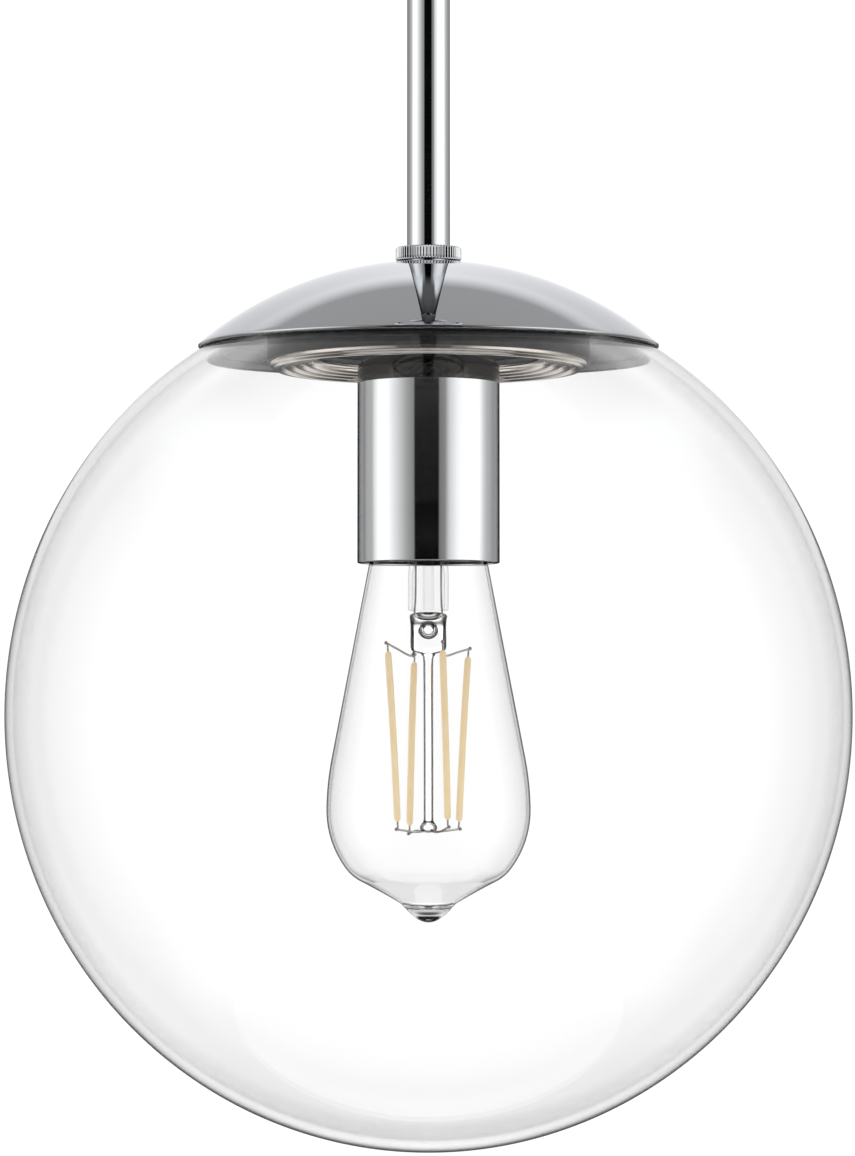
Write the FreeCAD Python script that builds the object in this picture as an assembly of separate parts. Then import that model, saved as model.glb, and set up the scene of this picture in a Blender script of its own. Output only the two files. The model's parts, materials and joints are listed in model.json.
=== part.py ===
import FreeCAD, Part
import math
import os

from FreeCAD import Vector

# Globe pendant ceiling light: ceiling canopy, hang-straight swivel, two-piece tubular stem, dome cap,
# screw-in glass globe, lamp holder and filament lamp.
# Units are millimetres and +Z is up. The origin is on the ceiling plane, on the light's axis.
# Everything below the stem is drawn about the centre of the globe and then placed at GLOBE_Z.

# ---------------------------------------------------------------- driving dimensions
# Ceiling end
CANOPY_R = 63.5
CANOPY_DEPTH = 25.0
CANOPY_WALL = 1.0
CROSSBAR_LENGTH = 108.0
CROSSBAR_WIDTH = 20.0
CROSSBAR_THICK = 1.6
BOX_SCREW_SPACING = 88.9
BOX_SCREW_R = 2.05
BOX_SCREW_RISE = 16.0
EARTH_SCREW_R = 2.0
EARTH_SCREW_X = 17.5
EARTH_SCREW_Y = 5.0

# Swivel under the canopy
PIVOT_Z = -54.0
PIVOT_R = 2.5
EAR_R = 9.0
TONGUE_HALF = 4.0
EAR_THICK = 4.2
FORK_GAP = 0.15
EAR_OUT = TONGUE_HALF + FORK_GAP + EAR_THICK
TONGUE_FOOT_Z = -80.0

# Stem
STEM_R = 6.35
STEM_BORE_R = 5.05
STEM_SECTION = 152.4
SEAM = 0.1
THREAD_R = 5.0
THREAD_PITCH = 1.0
THREAD_DEPTH = 0.45
WIRE_BORE_R = 3.4
NUT_FLATS = 15.0
NUT_HEIGHT = 3.2

# Globe, about its own centre
GLOBE_R = 125.0
GLOBE_HALF_HEIGHT = 128.6
GLASS_SIDE = 2.4
GLASS_POLE = 3.0
MOUTH_R = 49.0

# Head, heights above the globe's centre
STEM_END = 124.0
DOME_R = 105.3
DOME_TOP = 134.6
DOME_RIM_R = 68.2
DOME_WALL = 1.0
COLLAR_R = 9.75
COLLAR_HEIGHT = 4.0
COLLAR_FOOT = DOME_TOP + 0.1
SET_SCREW_R = 0.8
KNURLS = 60
RING_R = 47.4
RING_WALL = 1.0
RING_OPENING_R = 33.0
RING_FOOT = 103.5
HOLDER_R = 46.1
HOLDER_FOOT = 108.8
CUP_R = 21.1
CUP_WALL = 1.0
CUP_TOP = 105.8
CUP_FOOT = 45.1

# Lamp. Its side runs through these joints, radius and height, from the neck down to the tip.
LAMP_NECK_R = 12.8
LAMP_JOINTS = ((17.35, 46.3), (28.7, -13.0), (30.2, -28.0), (24.3, -45.8), (20.0, -49.4), (9.3, -55.3))
BASE_FOOT = 51.6
BASE_THREAD_R = 13.05
BASE_THREAD_TOP = 72.5
CONTACT_TOP = 78.1
GLASS_THIN = 0.8
FILAMENT_R = 1.0
WIRE_R = 0.3

# Slack between pieces of one body that sit against each other
EASE = 0.05
# Running clearance round the stem
SLIDE = 0.15
SAME_POINT = 1e-6
# Radius of the small flat where a rounded end meets its axis
POLE = 0.15

GLOBE_Z = TONGUE_FOOT_Z - 2 * STEM_SECTION - SEAM - STEM_END
DOME_CENTRE = DOME_TOP - DOME_R
Z_AXIS = Vector(0, 0, 1)


# ---------------------------------------------------------------- helpers
def at(r, z):
    """A point of an outline: radius and height, in the XZ plane."""
    return Vector(r, 0, z)


def outline(start, *steps):
    """Closed wire in the XZ plane. A step is an end point, or (middle, end) for an arc."""
    edges = []
    here = at(*start)
    for step in steps:
        if isinstance(step[0], tuple):
            end = at(*step[1])
            edges.append(Part.Arc(here, at(*step[0]), end).toShape())
        else:
            end = at(*step)
            if (end - here).Length > SAME_POINT:
                edges.append(Part.LineSegment(here, end).toShape())
        here = end
    if (here - at(*start)).Length > SAME_POINT:
        edges.append(Part.LineSegment(here, at(*start)).toShape())
    return Part.Wire(edges)


def turned(start, *steps):
    """Solid of revolution of an outline."""
    return spun(outline(start, *steps))


def spun(wire):
    return Part.Face(wire).revolve(Vector(0, 0, 0), Z_AXIS, 360)


def tube(r_out, r_in, z_low, z_high):
    return turned((r_in, z_low), (r_out, z_low), (r_out, z_high), (r_in, z_high))


def rod(r, z_low, z_high, x=0.0, y=0.0):
    return Part.makeCylinder(r, z_high - z_low, Vector(x, y, z_low))


def rod_along(direction, r, start, length):
    return Part.makeCylinder(r, length, start, direction)


def box(x0, x1, y0, y1, z0, z1):
    return Part.makeBox(x1 - x0, y1 - y0, z1 - z0, Vector(x0, y0, z0))


def threads(r, z_low, z_high, pitch=THREAD_PITCH, depth=THREAD_DEPTH):
    """Outline points of a screw thread drawn as rings, from z_low up to z_high."""
    count = int((z_high - z_low) / pitch)
    points = []
    for turn in range(count):
        z = z_low + turn * pitch
        points += [(r - depth, z), (r, z + 0.35 * pitch), (r, z + 0.65 * pitch)]
    return points + [(r - depth, z_low + count * pitch)]


def threaded_tube(r, bore, z_low, z_high):
    return turned((bore, z_low), *threads(r, z_low, z_high), (r - THREAD_DEPTH, z_high), (bore, z_high))


def hex_nut(across_flats, bore, z_low, z_high):
    corner = across_flats / math.sqrt(3)
    ring = [Vector(corner * math.cos(a), corner * math.sin(a), z_low) for a in sixths()]
    prism = Part.Face(Part.makePolygon(ring + ring[:1])).extrude(Vector(0, 0, z_high - z_low))
    bevel = 0.5
    blank = turned(
        (bore, z_low),
        (corner - bevel, z_low),
        (corner, z_low + bevel),
        (corner, z_high - bevel),
        (corner - bevel, z_high),
        (bore, z_high),
    )
    return prism.common(blank)


def sixths():
    return [math.radians(60 * k) for k in range(6)]


def knurled_ring(r, bore, z_low, height, knurls):
    """Straight-knurled ring with bevelled corners."""
    depth = 0.35
    bevel = 0.4
    z_high = z_low + height
    points = []
    for k in range(knurls):
        for part, radius in ((0.0, r - depth), (0.3, r), (0.7, r)):
            a = 2 * math.pi * (k + part) / knurls
            points.append(Vector(radius * math.cos(a), radius * math.sin(a), z_low))
    prism = Part.Face(Part.makePolygon(points + points[:1])).extrude(Vector(0, 0, height))
    blank = turned(
        (bore + bevel, z_low),
        (r - bevel, z_low),
        (r, z_low + bevel),
        (r, z_high - bevel),
        (r - bevel, z_high),
        (bore + bevel, z_high),
        (bore, z_high - bevel),
        (bore, z_low + bevel),
    )
    return prism.common(blank)


def pan_head_screw(r_shank, r_head, head, length, z_seat):
    """Screw pointing up, its slotted head hanging below z_seat, with a thinner neck through the sheet."""
    slot_depth = 0.45 * head
    slot_half = 0.5
    r_neck = r_shank - THREAD_DEPTH
    neck_top = z_seat + CROSSBAR_THICK + 0.1
    point = 0.8
    z_foot = z_seat - head
    z_tip = z_seat + length
    body = turned(
        (0, z_foot),
        (r_head * 0.55, z_foot),
        ((r_head * 0.92, z_seat - 0.7 * head), (r_head, z_seat)),
        (r_neck, z_seat),
        (r_neck, neck_top),
        (r_shank, neck_top),
        (r_shank, z_tip - point),
        (r_shank - 0.75 * point, z_tip),
        (0, z_tip),
    )
    return body.cut(box(-r_head, r_head, -slot_half, slot_half, z_foot - 1, z_foot + slot_depth))


def bent_wire(points, r):
    """Round wire along straight runs with arcs between them, as one solid."""
    bend = 2.5 * r
    edges = []
    here = points[0]
    for k in range(1, len(points) - 1):
        into = (points[k] - points[k - 1]).normalize()
        out = (points[k + 1] - points[k]).normalize()
        half = into.getAngle(out) / 2
        cut = bend * math.tan(half)
        first = points[k] - into * cut
        last = points[k] + out * cut
        bisector = (out - into).normalize()
        middle = points[k] + bisector * (bend / math.cos(half) - bend)
        edges.append(Part.LineSegment(here, first).toShape())
        edges.append(Part.Arc(first, middle, last).toShape())
        here = last
    edges.append(Part.LineSegment(here, points[-1]).toShape())
    path = Part.Wire(edges)
    circle = Part.Circle(points[0], points[1] - points[0], r).toShape()
    return path.makePipeShell([Part.Wire(circle)], True, True)


def around(angle_deg, r, z):
    a = math.radians(angle_deg)
    return Vector(r * math.cos(a), r * math.sin(a), z)


def group(*solids):
    return Part.Compound(list(solids))


def glass_z(r, grow=0.0):
    """Height of the globe's outer face at radius r, moved outwards by grow."""
    return (GLOBE_HALF_HEIGHT + grow) * math.sqrt(1 - (r / (GLOBE_R + grow)) ** 2)


def dome_z(r, inset=0.0):
    """Height of the dome cap's outer face at radius r, moved inwards by inset."""
    return DOME_CENTRE + math.sqrt((DOME_R - inset) ** 2 - r**2)


# ---------------------------------------------------------------- ceiling end
def canopy():
    """Shallow spun cup, open at the top, with a crowned face and a central hole."""
    hole = 11.0
    side = 7.0
    crown = 2.5
    shoulder = 15.0
    face = -CANOPY_DEPTH
    w = CANOPY_WALL
    drop = CANOPY_DEPTH - side - crown
    mid_out = (CANOPY_R - 0.3 * shoulder, -side - 0.62 * drop)
    mid_in = (CANOPY_R - 0.3 * shoulder - 0.72 * w, -side - 0.62 * drop + 0.7 * w)
    return turned(
        (CANOPY_R - w, 0),
        (CANOPY_R, 0),
        (CANOPY_R, -side),
        (mid_out, (CANOPY_R - shoulder, face + crown)),
        ((0.55 * CANOPY_R, face + 0.5 * crown), (hole, face)),
        (hole, face + w),
        ((0.55 * CANOPY_R, face + 0.5 * crown + w), (CANOPY_R - shoulder, face + crown + w)),
        (mid_in, (CANOPY_R - w, -side)),
    )


def canopy_collar():
    """Knurled ring on the swivel's threaded neck, with a flange that carries the canopy."""
    face = -CANOPY_DEPTH
    bore = THREAD_R + 0.2
    height = 6.3
    ring = knurled_ring(15.0, bore, face - height - 0.2, height, 84)
    spigot = tube(10.8, bore, face - 1.0, face + 2.2)
    return ring.fuse(spigot).removeSplitter()


def crossbar():
    """Steel strap screwed to the ceiling box, with slots for the box screws and a tapped centre."""
    low = -CROSSBAR_THICK
    half = CROSSBAR_LENGTH / 2
    end_r = CROSSBAR_WIDTH / 2
    spare_hole_x = 26.0
    boss_height = 3.0
    bar = box(-half + end_r, half - end_r, -end_r, end_r, low, 0)
    bar = bar.fuse(rod(end_r, low, 0, half - end_r)).fuse(rod(end_r, low, 0, -half + end_r))
    bar = bar.fuse(rod(9.0, low - boss_height, low))
    bar = bar.cut(rod(THREAD_R + EASE, low - boss_height - 1, 1))
    slot_half = 3.5
    slot_r = BOX_SCREW_R + 0.25
    for side in (-1, 1):
        x = side * BOX_SCREW_SPACING / 2
        bar = bar.cut(box(x - slot_half, x + slot_half, -slot_r, slot_r, low - 1, 1))
        for end in (-1, 1):
            bar = bar.cut(rod(slot_r, low - 1, 1, x + end * slot_half))
        bar = bar.cut(rod(1.8, low - 1, 1, side * spare_hole_x))
    bar = bar.cut(rod(EARTH_SCREW_R + EASE, low - 1, 1, EARTH_SCREW_X, EARTH_SCREW_Y))
    return bar.removeSplitter()


def box_screws():
    screw = pan_head_screw(BOX_SCREW_R, 4.2, 2.6, BOX_SCREW_RISE + CROSSBAR_THICK, -CROSSBAR_THICK)
    pair = []
    for side in (-1, 1):
        copy = screw.copy()
        copy.translate(Vector(side * BOX_SCREW_SPACING / 2, 0, 0))
        pair.append(copy)
    return group(*pair)


def ground_screw():
    """Earth screw in the crossbar's side hole."""
    screw = pan_head_screw(EARTH_SCREW_R, 4.0, 2.4, CROSSBAR_THICK + 4.5, -CROSSBAR_THICK)
    screw.translate(Vector(EARTH_SCREW_X, EARTH_SCREW_Y, 0))
    return screw


# ---------------------------------------------------------------- swivel
def swivel_yoke():
    """Threaded hollow neck that hangs from the crossbar, and a fork with two ears."""
    neck_top = 7.5
    body_top = PIVOT_Z + 22.0
    body_foot = PIVOT_Z + 14.0
    neck = threaded_tube(THREAD_R, WIRE_BORE_R, body_top, neck_top)
    body = turned(
        (WIRE_BORE_R, body_foot),
        (EAR_R, body_foot),
        (EAR_R, body_top - 2),
        ((EAR_R - 0.6, body_top - 0.6), (EAR_R - 2, body_top)),
        (WIRE_BORE_R, body_top),
    )
    fork = neck.fuse(body)
    for low_x in (-EAR_OUT, EAR_OUT - EAR_THICK):
        strap = box(low_x, low_x + EAR_THICK, -EAR_R, EAR_R, PIVOT_Z, body_foot + 0.5)
        end = rod_along(Vector(1, 0, 0), EAR_R, Vector(low_x, 0, PIVOT_Z), EAR_THICK)
        ear = strap.fuse(end).common(rod(11.0, PIVOT_Z - EAR_R - 1, body_top))
        fork = fork.fuse(ear)
    across = 2 * EAR_OUT + 2
    hole = rod_along(Vector(1, 0, 0), PIVOT_R + EASE, Vector(-across / 2, 0, PIVOT_Z), across)
    return fork.cut(hole).removeSplitter()


def swivel_top_nut():
    return hex_nut(NUT_FLATS, THREAD_R + EASE, 0.15, 4.2)


def swivel_pivot():
    """Slotted pivot screw across the fork, with its nut."""
    past_nut = 4.0
    head_r = 4.6
    shank = rod_along(Vector(1, 0, 0), PIVOT_R, Vector(-EAR_OUT - past_nut, 0, 0), 2 * EAR_OUT + past_nut)
    head = turned((0, 0), (head_r, 0), (head_r, 1.2), ((3.2, 2.3), (POLE, 2.7)), (0, 2.7))
    head = head.cut(box(-head_r - 1, head_r + 1, -0.5, 0.5, 1.5, 4))
    head.rotate(Vector(0, 0, 0), Vector(0, 1, 0), 90)
    head.translate(Vector(EAR_OUT, 0, 0))
    screw = shank.fuse(head).removeSplitter()
    nut = hex_nut(8.0, PIVOT_R + EASE, 0, NUT_HEIGHT)
    nut.rotate(Vector(0, 0, 0), Vector(0, 1, 0), -90)
    nut.translate(Vector(-EAR_OUT, 0, 0))
    pair = group(screw, nut)
    pair.translate(Vector(0, 0, PIVOT_Z))
    return pair


def swivel_tongue():
    """Flat lug in the fork that widens into the round boss which takes the stem."""
    boss_top = PIVOT_Z - 12.5
    wire_r = 2.6
    lug = box(-TONGUE_HALF, TONGUE_HALF, -EAR_R, EAR_R, boss_top - 1, PIVOT_Z)
    eye = rod_along(Vector(1, 0, 0), EAR_R, Vector(-TONGUE_HALF, 0, PIVOT_Z), 2 * TONGUE_HALF)
    boss = turned(
        (0, TONGUE_FOOT_Z + EASE),
        (7.6, TONGUE_FOOT_Z + EASE),
        ((8.6, TONGUE_FOOT_Z + 1.2), (EAR_R, TONGUE_FOOT_Z + 3)),
        (EAR_R, boss_top - 2),
        ((EAR_R - 0.6, boss_top - 0.6), (EAR_R - 2, boss_top)),
        (0, boss_top),
    )
    tongue = lug.fuse(eye).fuse(boss)
    tongue = tongue.cut(rod(STEM_BORE_R, TONGUE_FOOT_Z - 1, TONGUE_FOOT_Z + 11))
    tongue = tongue.cut(rod(wire_r, TONGUE_FOOT_Z, PIVOT_Z - 6.5))
    window = rod_along(Vector(0, 1, 0), wire_r, Vector(0, -EAR_R - 1, PIVOT_Z - 8.5), 2 * EAR_R + 2)
    across = 2 * TONGUE_HALF + 2
    hole = rod_along(Vector(1, 0, 0), PIVOT_R + EASE, Vector(-across / 2, 0, PIVOT_Z), across)
    return tongue.cut(window).cut(hole).removeSplitter()


# ---------------------------------------------------------------- stem
def upper_nipple():
    return threaded_tube(THREAD_R, WIRE_BORE_R, TONGUE_FOOT_Z - 10, TONGUE_FOOT_Z + 10)


def stem_tube(z_top):
    z_foot = z_top - STEM_SECTION
    edge = 0.25
    return turned(
        (STEM_BORE_R, z_foot),
        (STEM_R - edge, z_foot),
        (STEM_R, z_foot + edge),
        (STEM_R, z_top - edge),
        (STEM_R - edge, z_top),
        (STEM_BORE_R, z_top),
    )


def stem_upper():
    return stem_tube(TONGUE_FOOT_Z)


def stem_coupler():
    joint = TONGUE_FOOT_Z - STEM_SECTION
    return threaded_tube(THREAD_R, WIRE_BORE_R, joint - 11, joint + 11)


def stem_lower():
    return stem_tube(TONGUE_FOOT_Z - STEM_SECTION - SEAM)


# ---------------------------------------------------------------- head, about the globe's centre
def lower_nipple():
    return threaded_tube(THREAD_R, WIRE_BORE_R, 97.0, STEM_END + 12)


def stem_lock_nut():
    return hex_nut(NUT_FLATS, THREAD_R + EASE, STEM_END - NUT_HEIGHT, STEM_END - EASE)


def collar():
    ring = knurled_ring(COLLAR_R, STEM_R + SLIDE, COLLAR_FOOT, COLLAR_HEIGHT, KNURLS)
    middle = Vector(0, 0, COLLAR_FOOT + COLLAR_HEIGHT / 2)
    grub = rod_along(Vector(0, 1, 0), SET_SCREW_R + EASE, middle, COLLAR_R + 1)
    return ring.cut(grub)


def collar_set_screw():
    """Grub screw at the back of the collar, its socket facing out."""
    start = Vector(0, STEM_R + 0.3, COLLAR_FOOT + COLLAR_HEIGHT / 2)
    body = rod_along(Vector(0, 1, 0), SET_SCREW_R, start, 2.6)
    socket = rod_along(Vector(0, 1, 0), SET_SCREW_R / 2, start + Vector(0, 1.6, 0), 2)
    return body.cut(socket)


def dome_cap():
    """Spun metal dome with a rounded edge; its hole slides on the stem."""
    hole = STEM_R + SLIDE
    low = dome_z(DOME_RIM_R)
    inner_r = DOME_RIM_R * (DOME_R - DOME_WALL) / DOME_R
    inner_low = DOME_CENTRE + (low - DOME_CENTRE) * (DOME_R - DOME_WALL) / DOME_R
    half = (DOME_WALL / 2) * 0.85
    nose_r = (DOME_RIM_R + inner_r) / 2 + half * (low - DOME_CENTRE) / DOME_R
    nose_z = (low + inner_low) / 2 - half * DOME_RIM_R / DOME_R
    belly = 0.55 * DOME_RIM_R
    return turned(
        (hole, dome_z(hole)),
        ((belly, dome_z(belly)), (DOME_RIM_R, low)),
        ((nose_r, nose_z), (inner_r, inner_low)),
        ((belly, dome_z(belly, DOME_WALL)), (hole, dome_z(hole, DOME_WALL))),
    )


def cap_gasket():
    """Thin silicone strip inside the dome's edge, just above the glass."""
    inner, outer = 64.6, 66.6
    lift = 0.35
    seam = 0.02
    return turned(
        (inner, glass_z(inner) + lift),
        (outer, glass_z(outer) + lift),
        (outer, dome_z(outer, DOME_WALL + seam)),
        (inner, dome_z(inner, DOME_WALL + seam)),
    )


def ellipse_arc(half_width, half_height, r_start):
    """Arc in the XZ plane from radius r_start near the top, down to the lowest point."""
    curve = Part.Ellipse(at(0, half_height), at(half_width, 0), at(0, 0))
    return Part.ArcOfEllipse(curve, math.asin(r_start / half_width), math.pi).toShape()


def globe_glass():
    """Blown globe, a little taller than wide, with a fire-polished mouth at the top."""
    inner_width = GLOBE_R - GLASS_SIDE
    inner_height = GLOBE_HALF_HEIGHT - GLASS_POLE
    outer_arc = ellipse_arc(GLOBE_R, GLOBE_HALF_HEIGHT, MOUTH_R)
    inner_arc = ellipse_arc(inner_width, inner_height, MOUTH_R)
    top_out = at(MOUTH_R, glass_z(MOUTH_R))
    top_in = at(MOUTH_R, inner_height * math.sqrt(1 - (MOUTH_R / inner_width) ** 2))
    middle = (top_out + top_in) * 0.5 - Vector(0.6 * GLASS_SIDE / 2, 0, 0)
    lip = Part.Arc(top_out, middle, top_in).toShape()
    foot = Part.LineSegment(at(0, -GLOBE_HALF_HEIGHT), at(0, -inner_height)).toShape()
    return spun(Part.Wire(Part.__sortEdges__([outer_arc, foot, inner_arc, lip])))


def globe_ring():
    """Spun metal ring bonded in the globe's mouth: top flange, wall, and a foot of rolled beads."""
    flange_r = 55.0
    grow = 0.5
    thick = 1.0
    wall_in = RING_R - RING_WALL
    foot = RING_FOOT
    beads = 4
    bead_start = RING_R - 1.2
    bead_width = (bead_start - RING_OPENING_R - 1.6) / beads
    bead_rise = 0.55
    seat_r = 38.0
    seat = foot + 3.4
    underside = []
    for k in range(beads):
        r = bead_start - k * bead_width
        z = foot + k * bead_rise
        underside.append(((r - 0.5 * bead_width, z - 0.75), (r - bead_width, z + bead_rise)))
    top_low = glass_z(RING_R + 1.0, grow)
    return turned(
        (bead_start, foot),
        *underside,
        (RING_OPENING_R, seat - 0.7),
        (RING_OPENING_R, seat),
        (seat_r, seat),
        (wall_in, foot + 1.3),
        (wall_in, top_low + thick),
        (wall_in + 0.9, top_low + thick + 0.35),
        ((51.0, glass_z(51.0, grow) + thick * 1.05), (flange_r, glass_z(flange_r, grow) + thick * 0.9)),
        (flange_r, glass_z(flange_r, grow)),
        ((51.3, glass_z(51.3, grow)), (RING_R + 0.6, glass_z(RING_R + 0.6, grow))),
        (RING_R, glass_z(RING_R, grow) - 0.9),
        (RING_R, foot + 1.2),
        ((RING_R - 0.35, foot + 0.35), (bead_start, foot)),
    )


def ring_bond():
    """Clear adhesive between the ring's flange and the glass."""
    inner, outer = MOUTH_R + 0.2, 54.6
    middle = (inner + outer) / 2
    low, high = 0.05, 0.42
    return turned(
        (inner, glass_z(inner, low)),
        ((middle, glass_z(middle, low)), (outer, glass_z(outer, low))),
        (outer, glass_z(outer, high)),
        ((middle, glass_z(middle, high)), (inner, glass_z(inner, high))),
    )


def mouth_gasket():
    """Dark rubber sleeve between the ring's wall and the rounded lip of the glass."""
    return tube(RING_R + 0.75, RING_R + EASE, RING_FOOT + 1.4, glass_z(MOUTH_R) - 0.6)


def globe_washer():
    """Flat silicone washer that the screwed-up ring presses against the holder."""
    gap = 0.3
    return tube(37.2, RING_OPENING_R + 0.6, RING_FOOT + 3.4 + gap, HOLDER_FOOT - gap)


def holder_disc():
    """Dished plate with a threaded rim that the globe's ring screws onto."""
    plate = 1.5
    wall = 1.4
    top = 117.0
    foot = HOLDER_FOOT
    return turned(
        (THREAD_R + EASE, foot),
        (HOLDER_R - 1.0, foot),
        ((HOLDER_R - 0.6, foot + 0.3), (HOLDER_R - 0.45, foot + 1.0)),
        *threads(HOLDER_R, foot + 1.2, top - 0.4, 1.8, 0.4),
        (HOLDER_R - 0.4, top),
        (HOLDER_R - wall, top),
        (HOLDER_R - wall, foot + plate + 1.0),
        ((HOLDER_R - wall - 0.3, foot + plate + 0.3), (HOLDER_R - wall - 1.0, foot + plate)),
        (16.0, foot + plate),
        (15.0, foot + plate + 0.9),
        (THREAD_R + EASE, foot + plate + 0.9),
    )


def holder_nut():
    low = HOLDER_FOOT + 2.4 + EASE
    return hex_nut(NUT_FLATS, THREAD_R + EASE, low, low + NUT_HEIGHT)


def cup_spacer():
    return tube(9.0, THREAD_R + EASE, CUP_TOP + EASE, HOLDER_FOOT - EASE)


def socket_cup():
    """Drawn metal cup over the lamp holder, open at the bottom."""
    corner = 3.0
    w = CUP_WALL
    bend = 1 - math.sqrt(0.5)
    inner = CUP_R - w
    return turned(
        (THREAD_R + EASE, CUP_TOP),
        (CUP_R - corner, CUP_TOP),
        ((CUP_R - corner * bend, CUP_TOP - corner * bend), (CUP_R, CUP_TOP - corner)),
        (CUP_R, CUP_FOOT + 0.3),
        ((CUP_R - 0.15, CUP_FOOT + 0.08), (CUP_R - 0.5, CUP_FOOT)),
        ((inner + 0.12, CUP_FOOT + 0.1), (inner, CUP_FOOT + 0.4)),
        (inner, CUP_TOP - corner),
        (
            (inner - (corner - w) * bend, CUP_TOP - w - (corner - w) * bend),
            (CUP_R - corner, CUP_TOP - w),
        ),
        (THREAD_R + EASE, CUP_TOP - w),
    )


def cup_nut():
    high = CUP_TOP - CUP_WALL - EASE
    return hex_nut(NUT_FLATS, THREAD_R + EASE, high - 3.0, high)


# ---------------------------------------------------------------- lamp holder
INSULATOR_R = 17.6
INSULATOR_FOOT = 55.0
INSULATOR_TOP = 91.0
SHELL_R = 14.15
SHELL_PITCH = 3.62
BRACKET_SCREW_Z = 88.0
TERMINAL_Y = 9.0


def socket_bracket():
    """Steel strap that ties the lamp holder's body to the nipple."""
    thick = 1.2
    top = 98.6
    half = 5.0
    leg_in = INSULATOR_R + 0.2
    leg_out = leg_in + thick
    foot = BRACKET_SCREW_Z - 4.0
    strap = box(-leg_out, leg_out, -half, half, top - thick, top)
    strap = strap.fuse(tube(7.5, THREAD_R + EASE, top - thick, top + 2.6))
    for side in (-1, 1):
        low_x = leg_in if side > 0 else -leg_out
        strap = strap.fuse(box(low_x, low_x + thick, -half, half, foot, top))
        hole = rod_along(Vector(side, 0, 0), 1.3, Vector(side * (leg_out - 3), 0, BRACKET_SCREW_Z), 5)
        strap = strap.cut(hole)
    strap = strap.common(rod(CUP_R - CUP_WALL - 0.2, foot - 1, top + 3))
    return strap.cut(rod(THREAD_R + EASE, top - 3, top + 4)).removeSplitter()


def socket_insulator():
    """Glazed ceramic body: a deep well for the screw shell under a solid top."""
    well = SHELL_R + 0.1
    floor = 82.0
    body = turned(
        (0, floor),
        (well, floor),
        (well, INSULATOR_FOOT + 1),
        (well + 0.8, INSULATOR_FOOT),
        (INSULATOR_R - 0.6, INSULATOR_FOOT),
        (INSULATOR_R, INSULATOR_FOOT + 1),
        (INSULATOR_R, INSULATOR_TOP - 1.5),
        (INSULATOR_R - 1.5, INSULATOR_TOP),
        (0, INSULATOR_TOP),
    )
    for side in (-1, 1):
        body = body.cut(rod(1.9, floor - 1, INSULATOR_TOP + 1, 0, side * TERMINAL_Y))
        tapped = Vector(side * (INSULATOR_R - 4.2), 0, BRACKET_SCREW_Z)
        body = body.cut(rod_along(Vector(side, 0, 0), 1.05, tapped, 6))
    return body


def bracket_screws():
    """Two small screws through the strap's legs, their low heads just inside the cup."""
    screw = turned((0, 0), (1.0, 0), (1.0, 4.6), (2.0, 4.6), ((1.5, 5.1), (POLE, 5.25)), (0, 5.25))
    pair = []
    for side in (-1, 1):
        copy = screw.copy()
        copy.rotate(Vector(0, 0, 0), Vector(0, 1, 0), 90 * side)
        copy.translate(Vector(side * (INSULATOR_R - 3.1), 0, BRACKET_SCREW_Z))
        pair.append(copy)
    return group(*pair)


def wavy(r, z_low, z_high, pitch, swing):
    """Arc steps up a rolled screw thread drawn as rings, as (middle, end) pairs."""
    steps = []
    for turn in range(round((z_high - z_low) / pitch)):
        z = z_low + turn * pitch
        steps.append(((r + swing, z + 0.25 * pitch), (r, z + 0.5 * pitch)))
        steps.append(((r - swing, z + 0.75 * pitch), (r, z + pitch)))
    return steps


def back(steps, start, shift):
    """The same steps walked the other way and moved inwards by shift."""
    ends = [start] + [end for _, end in steps]
    result = []
    for k in range(len(steps) - 1, -1, -1):
        middle = steps[k][0]
        result.append(((middle[0] - shift, middle[1]), (ends[k][0] - shift, ends[k][1])))
    return result


def socket_screw_shell():
    """Rolled brass shell that the lamp's base screws into."""
    wall = 0.35
    r = SHELL_R - 0.32
    low = 58.0
    steps = wavy(r, low, low + 6 * SHELL_PITCH, SHELL_PITCH, 0.22)
    high = steps[-1][1][1]
    return turned(
        (r - wall, low),
        (r, low),
        *steps,
        (r - wall, high),
        *back(steps, (r, low), wall),
    )


def socket_contact():
    """Sprung centre tongue under the well's floor."""
    points = [
        Vector(0, -9.0, 81.6),
        Vector(0, 3.0, 81.6),
        Vector(0, 5.0, 80.6),
        Vector(0, -2.0, 78.9),
    ]
    width, thick = 5.0, 0.35
    solid = None
    for a, b in zip(points, points[1:]):
        along = b - a
        piece = box(-width / 2, width / 2, 0, along.Length + 0.3, -thick / 2, thick / 2)
        tilt = math.degrees(math.atan2(along.z, along.y))
        piece.rotate(Vector(0, 0, 0), Vector(1, 0, 0), tilt)
        piece.translate(a)
        solid = piece if solid is None else solid.fuse(piece)
    return solid.removeSplitter()


def terminal_screws():
    screw = turned((0, 0), (1.6, 0), (1.6, 3.0), (3.0, 3.0), ((2.3, 4.3), (POLE, 4.8)), (0, 4.8))
    screw = screw.cut(box(-4, 4, -0.4, 0.4, 4.0, 6))
    pair = []
    for side in (-1, 1):
        copy = screw.copy()
        copy.translate(Vector(0, side * TERMINAL_Y, INSULATOR_TOP - 3.0 + EASE))
        pair.append(copy)
    return group(*pair)


# ---------------------------------------------------------------- lamp
def tangent_arc(start, heading, end):
    """Arc that leaves start along heading, in radians: its middle, and its heading at end."""
    chord = math.atan2(end[1] - start[1], end[0] - start[0])
    turn = chord - heading
    reach = math.dist(start, end) / (2 * math.cos(turn / 2))
    along = chord - turn / 2
    return (start[0] + reach * math.cos(along), start[1] + reach * math.sin(along)), chord + turn


def moved_in(point, heading, inset):
    """The point moved towards the lamp's axis, square to an outline that runs down along heading."""
    return point[0] + inset * math.sin(heading), point[1] - inset * math.cos(heading)


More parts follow.
